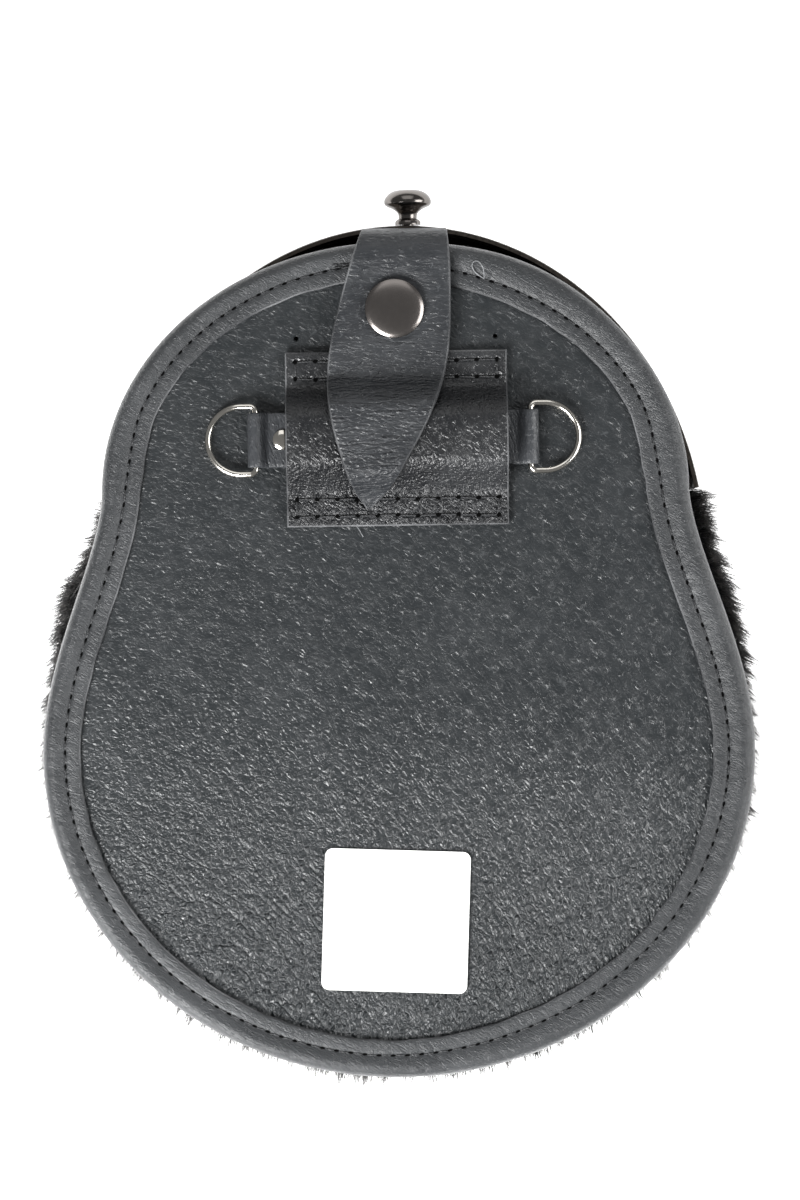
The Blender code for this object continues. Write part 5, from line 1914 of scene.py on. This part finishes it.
@dataclass
class SmallThings:
    """Blank sticker and loose ends of thread."""

    outline: BackOutline
    finishes: Finishes
    label_size: tuple[float, float] = (37.0 * MM, 36.0 * MM)
    label_x: float = -1.4 * MM
    label_above_bottom: float = 39.9 * MM
    label_turn: float = math.radians(-2.5)
    label_corner: float = 2.0 * MM
    paper: float = 0.3 * MM

    def build(self) -> None:
        """Make the sticker and the threads."""
        self.build_label()
        self.build_threads()

    def build_label(self) -> None:
        """Blank sticker with rounded corners, one of them lifted a little."""
        half_x, half_y = (size / 2.0 - self.label_corner for size in self.label_size)
        outline = []
        for quarter, (sx, sy) in enumerate(((1, 1), (-1, 1), (-1, -1), (1, -1))):
            for i in range(9):
                turn = math.radians(90.0 * quarter + 90.0 * i / 8.0)
                outline.append(
                    (
                        sx * half_x + self.label_corner * math.cos(turn),
                        sy * half_y + self.label_corner * math.sin(turn),
                    )
                )
        edge = np.array(outline)
        shares = (1.0, 0.99, 0.96, 0.9, 0.8, 0.65, 0.45, 0.2, 0.02)
        rings = []
        for layer, order in ((1, shares[::-1]), (0, shares)):
            for share in order:
                flat = edge * share
                curl = 0.35 * MM * ease((flat[:, 0] - flat[:, 1] - 24 * MM) / (14 * MM))
                base = self.outline.depth + 0.18 * MM + curl
                rings.append(np.concatenate([flat, (base + layer * self.paper)[:, None]], 1))
        points = np.array(rings)
        spin = np.array(Matrix.Rotation(self.label_turn, 3, "Z"))
        points = points @ spin.T + np.array([self.label_x, self.outline.bottom_y + self.label_above_bottom, 0.0])
        add_piece("label_blank", loft(points), self.finishes.paper, replaced=["label"])

    def build_threads(self) -> None:
        """A loose loop of thread at the top right, back stitches at the top left and a stray fibre."""
        z = self.outline.depth + 1.3 * MM
        turn = np.linspace(0.0, 2.0 * math.pi, 41)[:, None]
        base = np.array([23.3 * MM, 90.35 * MM, z])
        way = np.array([-2.5 * MM, 4.3 * MM, 0.9 * MM])
        across = np.array([1.35 * MM, 0.8 * MM, 0.0])
        loop = base + way * (1.0 - np.cos(turn)) / 2.0 + across * np.sin(turn) * np.sin(turn / 2.0)
        meshes = [loft(tube_rings(loop, 0.13 * MM))]
        fibre = np.array([[-10.2, 28.4, 0.35], [-9.4, 27.2, 0.6], [-8.7, 25.9, 0.5], [-8.3, 25.2, 0.3]]) * MM
        fibre[:, 2] += self.outline.depth
        meshes.append(loft(tube_rings(fibre, 0.09 * MM, 6)))
        add_piece("loose_threads", joined(meshes), self.finishes.pale_thread)
        draw = np.random.default_rng(51)
        ends = []
        for i in range(6):
            start = np.array([(-15.4 + 0.8 * i) * MM, (94.0 + draw.uniform(-0.5, 0.5)) * MM, z])
            way = np.array([draw.uniform(1.4, 2.6) * MM, draw.uniform(-0.3, 0.9) * MM, 0.0])
            ends.append(thread_stitch(start, start + way, 0.18 * MM, 0.3 * MM))
        add_piece("back_stitches", joined(ends), self.finishes.thread)


# Studio


@dataclass
class Studio:
    """Camera straight above the back, a pale floor and large soft lights."""

    lens: float = 150.0
    aim: tuple[float, float, float] = (0.77 * MM, 9.09 * MM, 43.0 * MM)
    roll: float = -0.0145  # the pouch lies a little turned in the frame
    floor_size: float = 6.0
    sky: str = "#FFFFFF"

    def build(self) -> None:
        """Make the camera, the floor and the lights."""
        self.build_camera()
        self.build_floor()
        self.build_lights()
        view = bpy.context.scene.view_settings
        view.view_transform = "Standard"
        view.look = "None"

    def build_camera(self) -> None:
        """Long lens, so that the view is almost square to the panel."""
        data = bpy.data.cameras.new("camera")
        data.lens = self.lens
        data.sensor_fit = "AUTO"
        data.sensor_width = 36.0
        distance = PHOTO_HEIGHT * PHOTO_SCALE * self.lens / data.sensor_width
        camera = bpy.data.objects.new("camera", data)
        camera.location = (self.aim[0], self.aim[1], self.aim[2] + distance)
        camera.rotation_euler = (0.0, 0.0, self.roll)
        data.clip_start = 0.05
        data.clip_end = 50.0
        bpy.context.scene.collection.objects.link(camera)
        bpy.context.scene.camera = camera

    def build_floor(self) -> None:
        """Matt white floor, lit from within a little so that its shadows stay pale."""
        mesh = bpy.data.meshes.new("floor")
        half = self.floor_size / 2.0
        corners = [(-half, -half, 0.0), (half, -half, 0.0), (half, half, 0.0), (-half, half, 0.0)]
        mesh.from_pydata(corners, [], [(0, 1, 2, 3)])
        made, _, shader = new_material("studio floor")
        shader.inputs["Base Color"].default_value = linear("#F4F4F4")
        shader.inputs["Roughness"].default_value = 0.9
        shader.inputs["Emission Color"].default_value = (1.0, 1.0, 1.0, 1.0)
        shader.inputs["Emission Strength"].default_value = 0.85
        mesh.materials.append(made)
        floor = bpy.data.objects.new("floor", mesh)
        bpy.context.scene.collection.objects.link(floor)

    def build_lights(self) -> None:
        """A large window from the lower left, weaker fills and a pale room."""
        world = bpy.data.worlds.new("room")
        world.use_nodes = True
        ground = world.node_tree.nodes["Background"]
        ground.inputs["Color"].default_value = linear(self.sky)
        ground.inputs["Strength"].default_value = 0.2
        bpy.context.scene.world = world
        self.add_light("window", (-0.38, -0.50, 0.50), 0.42, 15.0)
        self.add_light("fill", (0.9, -0.05, 0.6), 0.7, 11.5)
        self.add_light("top", (0.0, 0.9, 0.8), 0.9, 3.0)

    @staticmethod
    def add_light(name: str, place: tuple[float, float, float], size: float, power: float) -> None:
        """Square area light that points at the pouch."""
        data = bpy.data.lights.new(name, "AREA")
        data.size = size
        data.energy = power
        light = bpy.data.objects.new(name, data)
        light.location = place
        light.rotation_euler = (-Vector(place)).to_track_quat("-Z", "Y").to_euler()
        bpy.context.scene.collection.objects.link(light)


def corners(bounds: tuple[Vector, Vector]) -> list[list[float]]:
    """Two corners as plain lists of numbers."""
    return [[float(v) for v in corner] for corner in bounds]


def main() -> None:
    """Load the frame and build everything round it."""
    logging.basicConfig(level=logging.INFO, format="%(name)s: %(message)s")
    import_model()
    finishes = Finishes.build()
    Studio().build()
    outline = BackOutline()
    front = FrontForm(outline)
    LeatherBack(outline, front, finishes).build()
    StrapAndSnap(outline, front, finishes).build()
    loop = BeltLoop(outline, finishes)
    loop.build()
    RingAndTab(Side.LEFT, loop, finishes, reach=9.7 * MM, rivet_from_end=8.9 * MM).build()
    RingAndTab(Side.RIGHT, loop, finishes, reach=7.8 * MM, rivet_from_end=11.5 * MM).build()
    CantleAndKnob(front, finishes).build()
    FurFront(front, finishes).build()
    SmallThings(outline, finishes).build()


if __name__ == "__main__":
    main()
